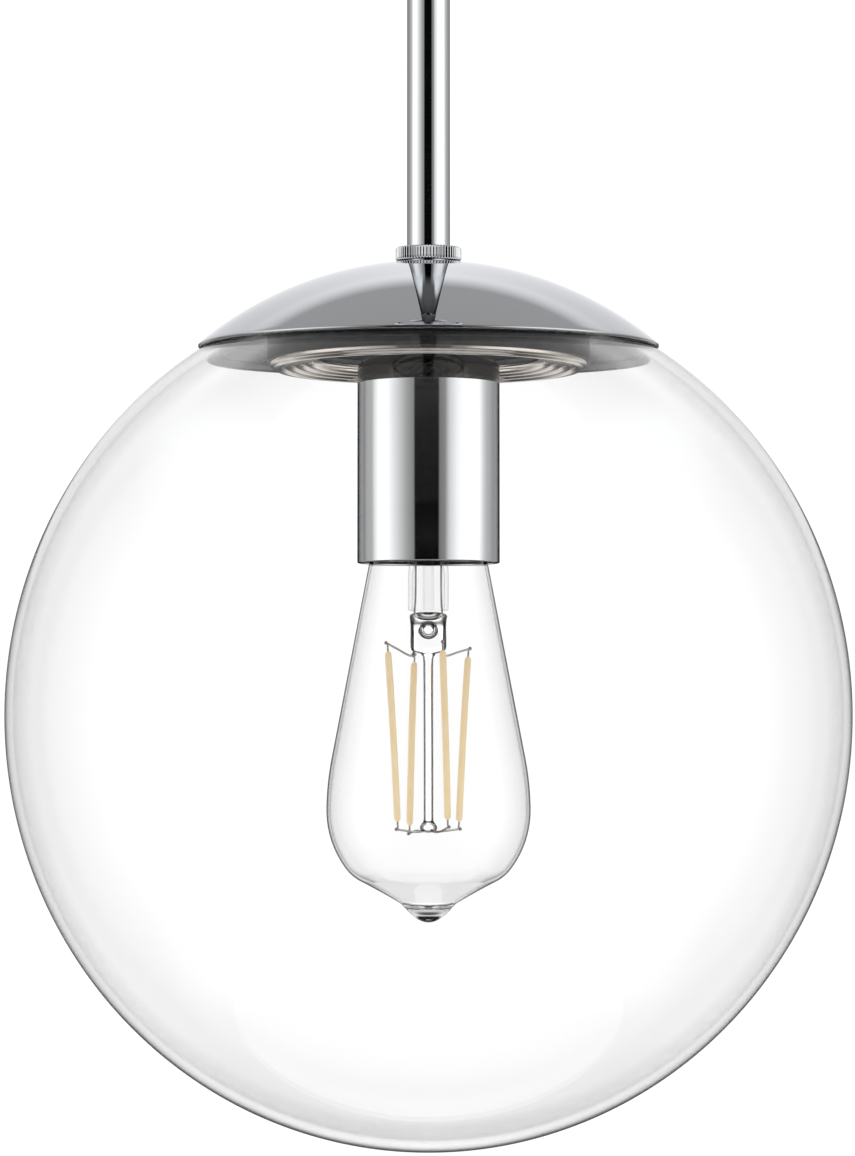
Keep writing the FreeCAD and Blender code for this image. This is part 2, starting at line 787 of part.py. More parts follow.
def lamp_side(inset):
    """Steps of the bulb's side from its neck down to its tip, moved inwards. Each arc leaves smoothly."""
    here, first = LAMP_JOINTS[:2]
    heading = math.atan2(first[1] - here[1], first[0] - here[0])
    neck = LAMP_NECK_R - inset
    shoulder = ((neck + 1.3, 48.6), moved_in(here, heading, inset))
    steps = [(neck, 50.9), shoulder, moved_in(first, heading, inset)]
    here = first
    for joint in LAMP_JOINTS[2:]:
        middle, after = tangent_arc(here, heading, joint)
        steps.append((moved_in(middle, (heading + after) / 2, inset), moved_in(joint, after, inset)))
        here, heading = joint, after
    return steps


def bulb_glass():
    """Pear-shaped envelope with a thick sealed tip."""
    neck_top = 55.2
    tip = -61.6
    floor = -57.4
    inner = lamp_side(GLASS_THIN)
    ends = [inner[0], inner[1][1], inner[2]] + [end for _, end in inner[3:]]
    up_the_inside = [(inner[k][0], ends[k - 1]) for k in range(len(inner) - 1, 2, -1)]
    return turned(
        (LAMP_NECK_R - GLASS_THIN, neck_top),
        (LAMP_NECK_R, neck_top),
        *lamp_side(0.0),
        ((7.7, -56.5), (6.3, -57.9)),
        (4.7, -59.6),
        ((2.5, -61.1), (POLE, tip)),
        (0, tip),
        (0, floor),
        (POLE, floor),
        ((5.0, -56.5), ends[-1]),
        *up_the_inside,
        ends[1],
        (inner[1][0], ends[0]),
    )


def bulb_screw_shell():
    """Rolled nickel base shell with a plain skirt."""
    wall = 0.3
    swing = 0.4
    skirt_r = 13.3
    top_r = 9.5
    r = BASE_THREAD_R - swing
    low = BASE_FOOT + 4.8
    steps = wavy(r, low, low + 4 * SHELL_PITCH, SHELL_PITCH, swing)
    high = steps[-1][1][1]
    return turned(
        (skirt_r - wall, BASE_FOOT),
        (skirt_r, BASE_FOOT),
        (skirt_r, low - 1.0),
        (r, low),
        *steps,
        ((r - 0.9, BASE_THREAD_TOP - 0.45), (top_r, BASE_THREAD_TOP)),
        (top_r, BASE_THREAD_TOP - wall),
        ((r - 1.1, BASE_THREAD_TOP - 0.45 - wall), (r - wall, high)),
        *back(steps, (r, low), wall),
        (skirt_r - wall, low - 1.0),
    )


def bulb_base_insulator():
    """Black glass cone between the shell and the centre contact."""
    return turned(
        (4.8, BASE_THREAD_TOP - 1.2),
        (9.3, BASE_THREAD_TOP - 1.2),
        (9.3, BASE_THREAD_TOP + 0.4),
        ((7.4, BASE_THREAD_TOP + 2.4), (5.2, BASE_THREAD_TOP + 3.7)),
        (4.8, BASE_THREAD_TOP + 3.7),
    )


def bulb_contact():
    """Centre contact eyelet with its drop of solder."""
    return turned(
        (0, BASE_THREAD_TOP + 0.6),
        (4.7, BASE_THREAD_TOP + 0.6),
        (4.7, BASE_THREAD_TOP + 4.2),
        ((3.4, CONTACT_TOP - 0.5), (POLE, CONTACT_TOP)),
        (0, CONTACT_TOP),
    )


PRESS_FOOT = 18.6


def press_section(half_x, half_y, z):
    """Oblong loft section of the glass press, as two half circles joined by flats."""
    flat = half_x - half_y
    if flat < 0.05:
        return Part.Wire(Part.Circle(Vector(0, 0, z), Z_AXIS, half_x).toShape())
    a, b = Vector(flat, -half_y, z), Vector(flat, half_y, z)
    c, d = Vector(-flat, half_y, z), Vector(-flat, -half_y, z)
    right = Part.Arc(a, Vector(half_x, 0, z), b).toShape()
    left = Part.Arc(c, Vector(-half_x, 0, z), d).toShape()
    return Part.Wire([right, Part.LineSegment(b, c).toShape(), left, Part.LineSegment(d, a).toShape()])


def bulb_stem_press():
    """Flared glass tube, pinched flat over the lead wires, with the exhaust hole through the pinch."""
    flare = turned(
        (4.9, 31.5),
        (6.0, 31.5),
        (6.0, 44.0),
        ((7.2, 49.0), (11.6, 52.4)),
        (11.0, 53.2),
        ((6.4, 50.0), (4.9, 44.0)),
    )
    sections = [
        press_section(6.0, 5.96, 31.5),
        press_section(5.85, 4.2, 28.6),
        press_section(5.4, 2.3, 25.0),
        press_section(5.3, 2.2, PRESS_FOOT),
    ]
    pinch = None
    for low, high in zip(sections[1:], sections[:-1]):
        solid = Part.makeLoft([low, high], True, True)
        pinch = solid if pinch is None else pinch.fuse(solid)
    exhaust = rod_along(Vector(0, 1, 0), 1.5, Vector(0, -7, 25.2), 14)
    socket = rod(1.3, PRESS_FOOT - 1, 22.0)
    return flare.fuse(pinch).cut(exhaust).cut(socket)


def bulb_support_rod():
    """Central glass rod with a bead at its foot that holds the hub wires."""
    return turned(
        (0, 21.9),
        (1.22, 21.9),
        (1.22, -31.2),
        ((2.3, -33.0), (POLE, -35.0)),
        (0, -35.0),
    )


# Filaments stand on two rings, and each one leans in and twists a little on its way down.
FILAMENT_TOP_R = 12.6
FILAMENT_FOOT_R = 10.7
FILAMENT_TOP_ANGLE = 19.3
FILAMENT_FOOT_ANGLE = 31.7
FILAMENT_TOPS = (17.4, 15.9, 18.8, 19.0)
FILAMENT_FEET = (-31.9, -33.2, -31.7, -31.0)
TAB = 2.2
TAB_R = 0.42


def filament_ends():
    """(top, foot) of each filament, counter-clockwise from the right-hand one."""
    ends = []
    for k in range(4):
        top = around(FILAMENT_TOP_ANGLE + 90 * k, FILAMENT_TOP_R, FILAMENT_TOPS[k])
        foot = around(FILAMENT_FOOT_ANGLE + 90 * k, FILAMENT_FOOT_R, FILAMENT_FEET[k])
        ends.append((top, foot))
    return ends


def bulb_filaments():
    """Four phosphor-coated rods, each with a rounded end."""
    rods = []
    for top, foot in filament_ends():
        along = top - foot
        length = along.Length
        shape = turned(
            (0, 0),
            (POLE, 0),
            ((0.8, 0.3), (FILAMENT_R, 1.1)),
            (FILAMENT_R, length - 1.1),
            ((0.8, length - 0.3), (POLE, length)),
            (0, length),
        )
        placement = FreeCAD.Placement(foot, FreeCAD.Rotation(Z_AXIS, along))
        shape.Placement = placement
        rods.append(shape)
    return group(*rods)


def bulb_tabs():
    """Metal end tabs of the filaments."""
    tabs = []
    for top, foot in filament_ends():
        along = (top - foot).normalize()
        tabs.append(rod_along(along, TAB_R, top + along * EASE, TAB))
        tabs.append(rod_along(along * -1, TAB_R, foot - along * EASE, TAB))
    return group(*tabs)


def bulb_lead_wires():
    """Two leads out of the press, each feeding a neighbouring pair of filaments."""
    ends = filament_ends()
    wires = []
    for side, pair in ((1, (0, 3)), (-1, (1, 2))):
        root = Vector(side * 4.2, 0, PRESS_FOOT - 0.1)
        for k in pair:
            top, foot = ends[k]
            along = (top - foot).normalize()
            tip = top + along * (TAB + 2 * WIRE_R)
            start = root + Vector(0, 0.8 if tip.y > 0 else -0.8, 0)
            knee = start + Vector(0, 0, -1.6)
            wires.append(bent_wire([start, knee, tip], WIRE_R))
    return group(*wires)


def bulb_hub_wires():
    """Wires from the bead to the lower filament tabs."""
    wires = []
    for top, foot in filament_ends():
        along = (foot - top).normalize()
        tip = foot + along * (TAB + 2 * WIRE_R)
        outward = Vector(tip.x, tip.y, 0).normalize()
        start = outward * 1.75 + Vector(0, 0, -34.6)
        rise = outward * 3.4 + Vector(0, 0, -35.0)
        wires.append(bent_wire([start, rise, tip], WIRE_R))
    return group(*wires)


# ---------------------------------------------------------------- nodes
CEILING_NODES = {
    "canopy": canopy,
    "canopy_collar": canopy_collar,
    "crossbar": crossbar,
    "box_screws": box_screws,
    "ground_screw": ground_screw,
    "swivel_yoke": swivel_yoke,
    "swivel_top_nut": swivel_top_nut,
    "swivel_pivot": swivel_pivot,
    "swivel_tongue": swivel_tongue,
    "upper_nipple": upper_nipple,
    "stem_upper": stem_upper,
    "stem_coupler": stem_coupler,
    "stem_lower": stem_lower,
}

HEAD_NODES = {
    "lower_nipple": lower_nipple,
    "stem_lock_nut": stem_lock_nut,
    "collar": collar,
    "collar_set_screw": collar_set_screw,
    "dome_cap": dome_cap,
    "cap_gasket": cap_gasket,
    "globe_glass": globe_glass,
    "globe_ring": globe_ring,
    "ring_bond": ring_bond,
    "mouth_gasket": mouth_gasket,
    "globe_washer": globe_washer,
    "holder_disc": holder_disc,
    "holder_nut": holder_nut,
    "cup_spacer": cup_spacer,
    "socket_cup": socket_cup,
    "cup_nut": cup_nut,
    "socket_bracket": socket_bracket,
    "bracket_screws": bracket_screws,
    "socket_insulator": socket_insulator,
    "socket_screw_shell": socket_screw_shell,
    "socket_contact": socket_contact,
    "terminal_screws": terminal_screws,
    "bulb_glass": bulb_glass,
    "bulb_screw_shell": bulb_screw_shell,
    "bulb_base_insulator": bulb_base_insulator,
    "bulb_contact": bulb_contact,
    "bulb_stem_press": bulb_stem_press,
    "bulb_support_rod": bulb_support_rod,
    "bulb_filaments": bulb_filaments,
    "bulb_tabs": bulb_tabs,
    "bulb_lead_wires": bulb_lead_wires,
    "bulb_hub_wires": bulb_hub_wires,
}


def export(name, shape):
    solids = shape.Solids
    valid = all(s.isValid() and s.Volume > 0 for s in solids)
    print(f"{name}: {len(solids)} solid(s), {shape.Volume:.1f} mm3, {'valid' if valid else 'NOT VALID'}")
    shape.exportStep(os.path.join("parts", name + ".step"))


def main():
    os.makedirs("parts", exist_ok=True)
    for name, make in CEILING_NODES.items():
        export(name, make())
    for name, make in HEAD_NODES.items():
        shape = make()
        shape.translate(Vector(0, 0, GLOBE_Z))
        export(name, shape)
    print(f"globe centre at z = {GLOBE_Z:.2f}, lowest point at z = {GLOBE_Z - GLOBE_HALF_HEIGHT:.2f}")


main()
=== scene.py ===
import math
import bpy
from mathutils import Matrix, Vector
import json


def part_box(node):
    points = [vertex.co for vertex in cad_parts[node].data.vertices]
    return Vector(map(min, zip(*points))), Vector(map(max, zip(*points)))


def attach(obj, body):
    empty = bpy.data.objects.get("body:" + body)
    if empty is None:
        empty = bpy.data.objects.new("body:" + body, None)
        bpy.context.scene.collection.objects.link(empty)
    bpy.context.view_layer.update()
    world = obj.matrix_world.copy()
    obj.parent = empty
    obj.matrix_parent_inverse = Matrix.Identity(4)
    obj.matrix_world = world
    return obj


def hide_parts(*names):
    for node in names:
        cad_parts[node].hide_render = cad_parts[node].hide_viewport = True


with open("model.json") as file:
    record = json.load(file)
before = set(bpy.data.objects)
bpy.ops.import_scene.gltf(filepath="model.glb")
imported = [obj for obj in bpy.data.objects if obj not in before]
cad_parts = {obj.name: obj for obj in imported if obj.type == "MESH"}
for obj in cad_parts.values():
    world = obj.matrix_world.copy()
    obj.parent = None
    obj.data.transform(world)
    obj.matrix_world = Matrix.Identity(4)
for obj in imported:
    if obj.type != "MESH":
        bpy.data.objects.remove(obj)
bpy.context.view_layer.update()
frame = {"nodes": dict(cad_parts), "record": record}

# The looks of a globe pendant light: chrome canopy, swivel and stem, a chrome dome over a clear blown
# globe, a chrome lamp cup and a clear filament lamp. The frame is in metres. Sizes and outlines are in
# millimetres about the globe's centre, or about the ceiling plane for the upper pieces.

MM = 0.001
AXIS_SEGMENTS = 256
FINE_SEGMENTS = 96

# Sizes shared with the CAD model, in millimetres
GLOBE_R = 125.0
GLOBE_HALF_HEIGHT = 128.6
GLASS_SIDE = 2.4
GLASS_POLE = 3.0
MOUTH_R = 49.0
DOME_R = 105.3
DOME_TOP = 134.6
DOME_RIM_R = 68.2
DOME_WALL = 1.0
STEM_R = 6.35
STEM_BORE_R = 5.05
COLLAR_R = 9.75
COLLAR_HEIGHT = 4.0
COLLAR_TEETH = 60
RING_R = 47.4
RING_WALL = 1.0
RING_OPENING_R = 33.0
RING_FOOT = 103.5
HOLDER_R = 46.1
HOLDER_FOOT = 108.8
THREAD_R = 5.0
CUP_R = 21.1
CUP_WALL = 1.0
CUP_TOP = 105.8
CUP_FOOT = 45.1
# Above this height the cup carries painted shade, as under the holder
CUP_SHADE_LINE = 98.6
LAMP_WALL = 0.8
LAMP_NECK_TOP = 55.2
LAMP_TIP = -61.6
LAMP_FLOOR = -57.4
# Height of the exhaust hole in the lamp's glass press
HOLE_Z = 25.2
# The bulb's side runs through these joints, radius and height, from the neck down to the tip
LAMP_NECK_R = 12.8
LAMP_JOINTS = ((17.35, 46.3), (28.7, -13.0), (30.2, -28.0), (24.3, -45.8), (20.0, -49.4), (9.3, -55.3))
CANOPY_R = 63.5
CANOPY_DEPTH = 25.0
CANOPY_WALL = 1.0
GAP = 0.05
POLE = 0.15

GLOBE_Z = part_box("globe_glass")[0].z + GLOBE_HALF_HEIGHT * MM


# ---------------------------------------------------------------- outlines
def arc_angles(count):
    """Angles of count equal steps round a circle."""
    return [math.tau * k / count for k in range(count)]


def arc_points(a, b, c, steps):
    """Points after a, on the circle through a, b and c, up to c."""
    (ax, ay), (bx, by), (cx, cy) = a, b, c
    d = 2 * (ax * (by - cy) + bx * (cy - ay) + cx * (ay - by))
    sa, sb, sc = ax * ax + ay * ay, bx * bx + by * by, cx * cx + cy * cy
    ox = (sa * (by - cy) + sb * (cy - ay) + sc * (ay - by)) / d
    oy = (sa * (cx - bx) + sb * (ax - cx) + sc * (bx - ax)) / d
    r = math.hypot(ax - ox, ay - oy)
    start = math.atan2(ay - oy, ax - ox)
    mid = (math.atan2(by - oy, bx - ox) - start) % math.tau
    end = (math.atan2(cy - oy, cx - ox) - start) % math.tau
    if mid > end:
        end -= math.tau
    turns = [start + end * k / steps for k in range(1, steps + 1)]
    return [(ox + r * math.cos(t), oy + r * math.sin(t)) for t in turns]


def outline(start, *steps, arc_steps=12):
    """Points of a closed outline. A step is a point, or (middle, end) for an arc."""
    points = [start]
    for step in steps:
        if isinstance(step[0], tuple):
            points += arc_points(points[-1], step[0], step[1], arc_steps)
        elif math.dist(step, points[-1]) > 1e-6:
            points.append(step)
    if math.dist(points[0], points[-1]) < 1e-6:
        points.pop()
    return points


def glass_z(r, grow=0.0):
    return (GLOBE_HALF_HEIGHT + grow) * math.sqrt(1 - (r / (GLOBE_R + grow)) ** 2)


def dome_z(r, inset=0.0):
    return DOME_TOP - DOME_R + math.sqrt((DOME_R - inset) ** 2 - r**2)


# ---------------------------------------------------------------- meshes
def new_mesh(name, verts, faces, sharp=40.0):
    mesh = bpy.data.meshes.new(name)
    mesh.from_pydata(verts, [], faces)
    mesh.validate()
    mesh.shade_smooth()
    mesh.set_sharp_from_angle(angle=math.radians(sharp))
    piece = bpy.data.objects.new(name, mesh)
    bpy.context.scene.collection.objects.link(piece)
    return piece


def lathe(name, points, z_zero=GLOBE_Z, segments=AXIS_SEGMENTS, radius=None, sharp=40.0):
    """Turns a closed outline about the vertical axis. radius(r, z, angle) may shape the section."""
    verts, rings = [], []
    for r, z in points:
        if r < 1e-6:
            rings.append([len(verts)] * segments)
            verts.append((0, 0, z * MM + z_zero))
            continue
        rings.append(list(range(len(verts), len(verts) + segments)))
        for k in range(segments):
            a = math.tau * k / segments
            rr = (radius(r, z, a) if radius else r) * MM
            verts.append((rr * math.cos(a), rr * math.sin(a), z * MM + z_zero))
    faces = []
    for low, high in zip(rings, rings[1:] + rings[:1]):
        for k in range(segments):
            j = (k + 1) % segments
            face = [low[k], low[j], high[j], high[k]]
            face = [v for i, v in enumerate(face) if v not in face[:i]]
            if len(face) > 2:
                faces.append(face)
    piece = new_mesh(name, verts, faces, sharp)
    if signed_volume(piece.data) < 0:
        piece.data.flip_normals()
    return piece


def signed_volume(mesh):
    mesh.calc_loop_triangles()
    corners = [[mesh.vertices[i].co for i in tri.vertices] for tri in mesh.loop_triangles]
    return sum(a.dot(b.cross(c)) for a, b, c in corners)


def smooth_path(points, steps=8):
    """Catmull-Rom points through a list of vectors."""
    padded = [points[0] * 2 - points[1]] + points + [points[-1] * 2 - points[-2]]
    path = []
    for a, b, c, d in zip(padded, padded[1:], padded[2:], padded[3:]):
        for k in range(steps):
            t = k / steps
            path.append(0.5 * (2 * b + (c - a) * t + (2 * a - 5 * b + 4 * c - d) * t * t
                               + (3 * b - 3 * c + d - a) * t**3))
    return path + [points[-1]]


def rod_mesh(path, radii, sides=16):
    """Vertices and faces of a closed round rod along a path, in metres."""
    verts, faces = [], []
    side = Vector((1, 0, 0))
    for k, (here, r) in enumerate(zip(path, radii)):
        along = (path[min(k + 1, len(path) - 1)] - path[max(k - 1, 0)]).normalized()
        side = (side - along * side.dot(along)).normalized()
        up = along.cross(side)
        for j in range(sides):
            a = math.tau * j / sides
            verts.append(here + (side * math.cos(a) + up * math.sin(a)) * r)
    for k in range(len(path) - 1):
        for j in range(sides):
            n = (j + 1) % sides
            row = k * sides
            faces.append((row + j, row + n, row + sides + n, row + sides + j))
    last = (len(path) - 1) * sides
    faces.append(tuple(range(sides))[::-1])
    faces.append(tuple(range(last, last + sides)))
    return verts, faces


def rods(name, parts, sharp=60.0):
    """One piece made of several (path, radii) rods."""
    verts, faces = [], []
    for path, radii in parts:
        v, f = rod_mesh(path, radii)
        faces += [tuple(i + len(verts) for i in face) for face in f]
        verts += v
    return new_mesh(name, verts, faces, sharp)


def wire(points, r, bead=0.0, steps=8):
    """Smooth round wire through points about the globe's centre, with an optional bead at its end."""
    path = smooth_path([Vector(p) for p in points], steps)
    radii = [r] * len(path)
    if bead:
        last, along = path[-1], (path[-1] - path[-2]).normalized()
        turns = [math.radians(a) for a in (25, 50, 75, 100, 125, 150, 172)]
        path += [last + along * bead * (1 - math.cos(a)) for a in turns]
        radii += [max(bead * math.sin(a), 0.02) for a in turns]
    return place(path, radii)


def place(path, radii):
    """Millimetres about the globe's centre to metres in the frame."""
    return [p * MM + Vector((0, 0, GLOBE_Z)) for p in path], [r * MM for r in radii]


def capsule(foot, top, r, bow):
    """Round-ended rod from foot to top with a slight sideways bow."""
    steps = 24
    along = top - foot
    length = along.length
    side = along.cross(Vector((0, 0, 1)).cross(foot)).normalized()
    path, radii = [], []
    for k in range(steps + 1):
        t = 0.5 - 0.5 * math.cos(math.pi * k / steps)
        path.append(foot + along * t + side * bow * 4 * t * (1 - t))
        end = min(t, 1 - t) * length / (1.3 * r)
        radii.append(r * math.sqrt(max(1 - max(1 - end, 0) ** 2, 0.002)))
    return place(path, radii)


def loft(name, rings, sides=96, sharp=50.0):
    """Closed skin over oval rings (z, half width x, half width y), rounded rectangles where they differ."""
    verts, faces = [], []
    for z, half_x, half_y in rings:
        power = 2 + 2.5 * min(abs(half_x - half_y) / max(half_x, half_y), 0.6)
        for k in range(sides):
            a = math.tau * k / sides
            c, d = math.cos(a), math.sin(a)
            grow = (abs(c) ** power + abs(d) ** power) ** (-1 / power)
            verts.append((half_x * grow * c * MM, half_y * grow * d * MM, z * MM + GLOBE_Z))
    for row in range(len(rings) - 1):
        for k in range(sides):
            n = (k + 1) % sides
            low, high = row * sides, (row + 1) * sides
            faces.append((low + k, low + n, high + n, high + k))
    last = (len(rings) - 1) * sides
    faces += [tuple(range(sides))[::-1], tuple(range(last, last + sides))]
    piece = new_mesh(name, verts, faces, sharp)
    if signed_volume(piece.data) < 0:
        piece.data.flip_normals()
    return piece


def cut(piece, tool):
    """Cuts another piece's shape out of the piece, and removes the other one."""
    modifier = piece.modifiers.new("boolean", "BOOLEAN")
    modifier.operation = "DIFFERENCE"
    modifier.object = tool
    modifier.solver = "EXACT"
    depsgraph = bpy.context.evaluated_depsgraph_get()
    mesh = bpy.data.meshes.new_from_object(piece.evaluated_get(depsgraph))
    piece.modifiers.clear()
    piece.data = mesh
    bpy.data.objects.remove(tool)
    mesh.shade_smooth()
    mesh.set_sharp_from_angle(angle=math.radians(50))


# ---------------------------------------------------------------- materials
class Material:
    """A node material built up from one Principled shader."""

    def __init__(self, name, **sockets):
        self.material = bpy.data.materials.new(name)
        self.material.use_nodes = True
        self.tree = self.material.node_tree
        self.shader = self.tree.nodes["Principled BSDF"]
        for socket, value in sockets.items():
            self.shader.inputs[socket.replace("_", " ").title().replace("Ior", "IOR")].default_value = value
        self.place = self.tree.nodes.new("ShaderNodeTexCoord").outputs["Object"]

    def noise(self, scale, detail=3.0):
        node = self.tree.nodes.new("ShaderNodeTexNoise")
        node.inputs["Scale"].default_value = scale
        node.inputs["Detail"].default_value = detail
        self.tree.links.new(self.place, node.inputs["Vector"])
        return node.outputs["Fac"]

    def ramp(self, factor, *stops):
        """Colour ramp; each stop is (position, grey level or colour)."""
        node = self.tree.nodes.new("ShaderNodeValToRGB")
        fill_ramp(node.color_ramp, stops)
        self.tree.links.new(factor, node.inputs["Fac"])
        return node.outputs["Color"]

    def facing(self):
        """0 face on, 1 at a grazing angle."""
        node = self.tree.nodes.new("ShaderNodeLayerWeight")
        node.inputs["Blend"].default_value = 0.5
        return node.outputs["Facing"]

    def from_axis(self, reach):
        """Distance from the light's axis as a share of reach, in metres."""
        flat = self.tree.nodes.new("ShaderNodeVectorMath")
        flat.operation = "MULTIPLY"
        self.tree.links.new(self.place, flat.inputs[0])
        flat.inputs[1].default_value = (1 / reach, 1 / reach, 0)
        size = self.tree.nodes.new("ShaderNodeVectorMath")
        size.operation = "LENGTH"
        self.tree.links.new(flat.outputs[0], size.inputs[0])
        return size.outputs["Value"]

    def feed(self, socket, output):
        self.tree.links.new(output, self.shader.inputs[socket])

    def bump(self, height, depth):
        node = self.tree.nodes.new("ShaderNodeBump")
        node.inputs["Strength"].default_value = 1.0
        node.inputs["Distance"].default_value = depth
        self.tree.links.new(height, node.inputs["Height"])
        self.feed("Normal", node.outputs["Normal"])


def fill_ramp(color_ramp, stops):
    elements = color_ramp.elements
    while len(elements) > len(stops):
        elements.remove(elements[-1])
    while len(elements) < len(stops):
        elements.new(1.0)
    for element, (position, level) in zip(elements, stops):
        color = level if isinstance(level, tuple) else (level, level, level)
        element.position = position
        element.color = (*color, 1.0)


def chrome(name="chrome", face=(0.93, 0.94, 0.95), edge=(0.02, 0.02, 0.025)):
    """Bright plate with faint smears and very slight waviness. Its grazing edge is tinted by edge; the
    near-black default edge is a painted dark reflection along the outline.
    """
    m = Material(name, metallic=1.0)
    m.shader.inputs["Base Color"].default_value = (*face, 1)
    # Painted reflection: a near-black edge tint darkens the grazing outline as if it mirrored dark
    # surroundings.
    m.shader.inputs["Specular Tint"].default_value = (*edge, 1)
    m.feed("Roughness", m.ramp(m.noise(45, 5), (0.35, 0.012), (0.62, 0.03), (0.8, 0.05)))
    m.bump(m.noise(28, 2), 0.00002)
    return m.material


def warm_chrome():
    """Thinner plate on the globe's ring, a little warmer and duller than the outside."""
    m = Material("warm_chrome", metallic=1.0)
    m.feed("Base Color", m.ramp(m.noise(160, 4), (0.3, (0.8, 0.73, 0.65)), (0.7, (0.9, 0.85, 0.79))))
    m.feed("Roughness", m.ramp(m.noise(120, 4), (0.3, 0.04), (0.7, 0.12)))
    m.bump(m.noise(90, 2), 0.00004)
    return m.material


def painted_shade_metal():
    """Metal with painted shade, for the faces under the cap that look down into the globe: darkest at the
    axis and lighter towards the rim.
    """
    m = Material("painted_shade_metal", metallic=1.0)
    share = m.from_axis(DOME_RIM_R * MM)
    # Painted shade: the base colour darkens from the rim in towards the axis.
    m.feed("Base Color", m.ramp(share, (0.8, (0.055, 0.052, 0.048)), (1.0, (0.32, 0.32, 0.32))))
    m.feed("Roughness", m.ramp(m.noise(150, 4), (0.3, 0.1), (0.7, 0.22)))
    return m.material


def zinc():
    m = Material("zinc_steel", metallic=1.0)
    m.feed("Base Color", m.ramp(m.noise(260, 4), (0.3, (0.52, 0.52, 0.5)), (0.7, (0.74, 0.73, 0.69))))
    m.feed("Roughness", m.ramp(m.noise(900, 3), (0.3, 0.24), (0.7, 0.4)))
    m.bump(m.noise(2500, 2), 0.00002)
    return m.material


def nickel():
    m = Material("nickel", metallic=1.0)
    m.feed("Base Color", m.ramp(m.noise(400, 3), (0.3, (0.5, 0.48, 0.45)), (0.7, (0.66, 0.63, 0.58))))
    m.feed("Roughness", m.ramp(m.noise(1200, 3), (0.3, 0.16), (0.7, 0.3)))
    return m.material


def brass():
    m = Material("brass", metallic=1.0)
    m.feed("Base Color", m.ramp(m.noise(300, 4), (0.3, (0.62, 0.42, 0.16)), (0.75, (0.8, 0.6, 0.28))))
    m.feed("Roughness", m.ramp(m.noise(800, 4), (0.3, 0.18), (0.7, 0.36)))
    return m.material


def dark_steel():
    m = Material("dark_steel", metallic=1.0)
    m.feed("Base Color", m.ramp(m.noise(900, 3), (0.3, 0.03), (0.7, 0.08)))
    m.feed("Roughness", m.ramp(m.noise(1500, 2), (0.3, 0.3), (0.7, 0.45)))
    return m.material


def earth_green():
    m = Material("green_earth", metallic=1.0)
    m.feed("Base Color", m.ramp(m.noise(500, 3), (0.3, (0.02, 0.2, 0.06)), (0.7, (0.05, 0.32, 0.1))))
    m.feed("Roughness", m.ramp(m.noise(900, 2), (0.3, 0.25), (0.7, 0.4)))
    return m.material


# Anti-reflection look of clean studio glass: weak head-on reflections, full ones at grazing angles
GLASS_TINT = (0.18, 0.18, 0.18, 1)


def blown_glass():
    """Clear soda glass whose walls wander very slightly, as blown glass does."""
    m = Material("globe_glass", base_color=(1, 1, 1, 1), roughness=0.0, ior=1.5, transmission_weight=1.0)
    m.shader.inputs["Specular Tint"].default_value = GLASS_TINT
    m.bump(m.noise(14, 1), 0.00004)
    return m.material


def lamp_glass(name="bulb_glass", edge=((0.79, 0.985), (0.85, 0.05), (1.0, 0.0))):
    """Clear glass with a painted dark outline where the wall is seen along its length; edge gives the stops
    of that painted shade.
    """
    m = Material(name, roughness=0.0, ior=1.47, transmission_weight=1.0)
    # Painted shade: the base colour darkens at grazing angles, drawing a dark outline.
    m.feed("Base Color", m.ramp(m.facing(), (0.0, 0.985), *edge))
    m.shader.inputs["Specular Tint"].default_value = GLASS_TINT
    m.bump(m.noise(60, 1), 0.00002)
    return m.material


def tube_glass():
    """Thin-walled tube, clear face on, with painted grey at its grazing edges standing in for their
    reflections.
    """
    m = Material("tube_glass", roughness=0.05, ior=1.47)
    # Painted reflection: grey that shows more at grazing angles, in place of the tube's reflections.
    m.shader.inputs["Base Color"].default_value = (0.35, 0.35, 0.36, 1)
    m.feed("Alpha", m.ramp(m.facing(), (0.4, 0.02), (0.75, 0.16), (1.0, 0.5)))
    return m.material


def silicone():
    m = Material("silicone", ior=1.41)
    m.feed("Base Color", m.ramp(m.noise(200, 3), (0.3, (0.72, 0.74, 0.74)), (0.7, (0.84, 0.86, 0.86))))
    m.feed("Roughness", m.ramp(m.noise(600, 3), (0.3, 0.35), (0.7, 0.5)))
    m.shader.inputs["Transmission Weight"].default_value = 0.35
    m.bump(m.noise(1500, 2), 0.00002)
    return m.material


def dark_rubber():
    # On the gasket over the globe ring's wall this dark rubber is also a dark sheet standing in for the shade
    # under the cap: painted shade.
    m = Material("dark_rubber", ior=1.5)
    m.feed("Base Color", m.ramp(m.noise(300, 3), (0.3, 0.02), (0.7, 0.045)))
    m.feed("Roughness", m.ramp(m.noise(700, 3), (0.3, 0.4), (0.7, 0.6)))
    m.shader.inputs["Sheen Weight"].default_value = 0.6
    m.bump(m.noise(1800, 2), 0.00003)
    return m.material


def clear_bond():
    m = Material("clear_bond", ior=1.45, transmission_weight=0.9)
    m.feed("Roughness", m.ramp(m.noise(300, 3), (0.3, 0.1), (0.7, 0.3)))
    return m.material


def porcelain():
    m = Material("ceramic", ior=1.55, coat_weight=0.6, coat_roughness=0.06)
    m.feed("Base Color", m.ramp(m.noise(180, 4), (0.3, (0.78, 0.76, 0.7)), (0.7, (0.86, 0.85, 0.8))))
    m.feed("Roughness", m.ramp(m.noise(500, 3), (0.3, 0.22), (0.7, 0.34)))
    m.bump(m.noise(400, 3), 0.00005)
    return m.material


def vitrite():
    m = Material("black_glass", ior=1.5)
    m.feed("Base Color", m.ramp(m.noise(600, 3), (0.3, 0.008), (0.7, 0.02)))
    m.feed("Roughness", m.ramp(m.noise(900, 2), (0.3, 0.06), (0.7, 0.16)))
    return m.material


def solder():
    m = Material("solder", metallic=1.0)
    m.feed("Base Color", m.ramp(m.noise(900, 3), (0.3, 0.42), (0.7, 0.62)))
    m.feed("Roughness", m.ramp(m.noise(1800, 3), (0.3, 0.25), (0.7, 0.45)))
    m.bump(m.noise(1600, 3), 0.00006)
    return m.material


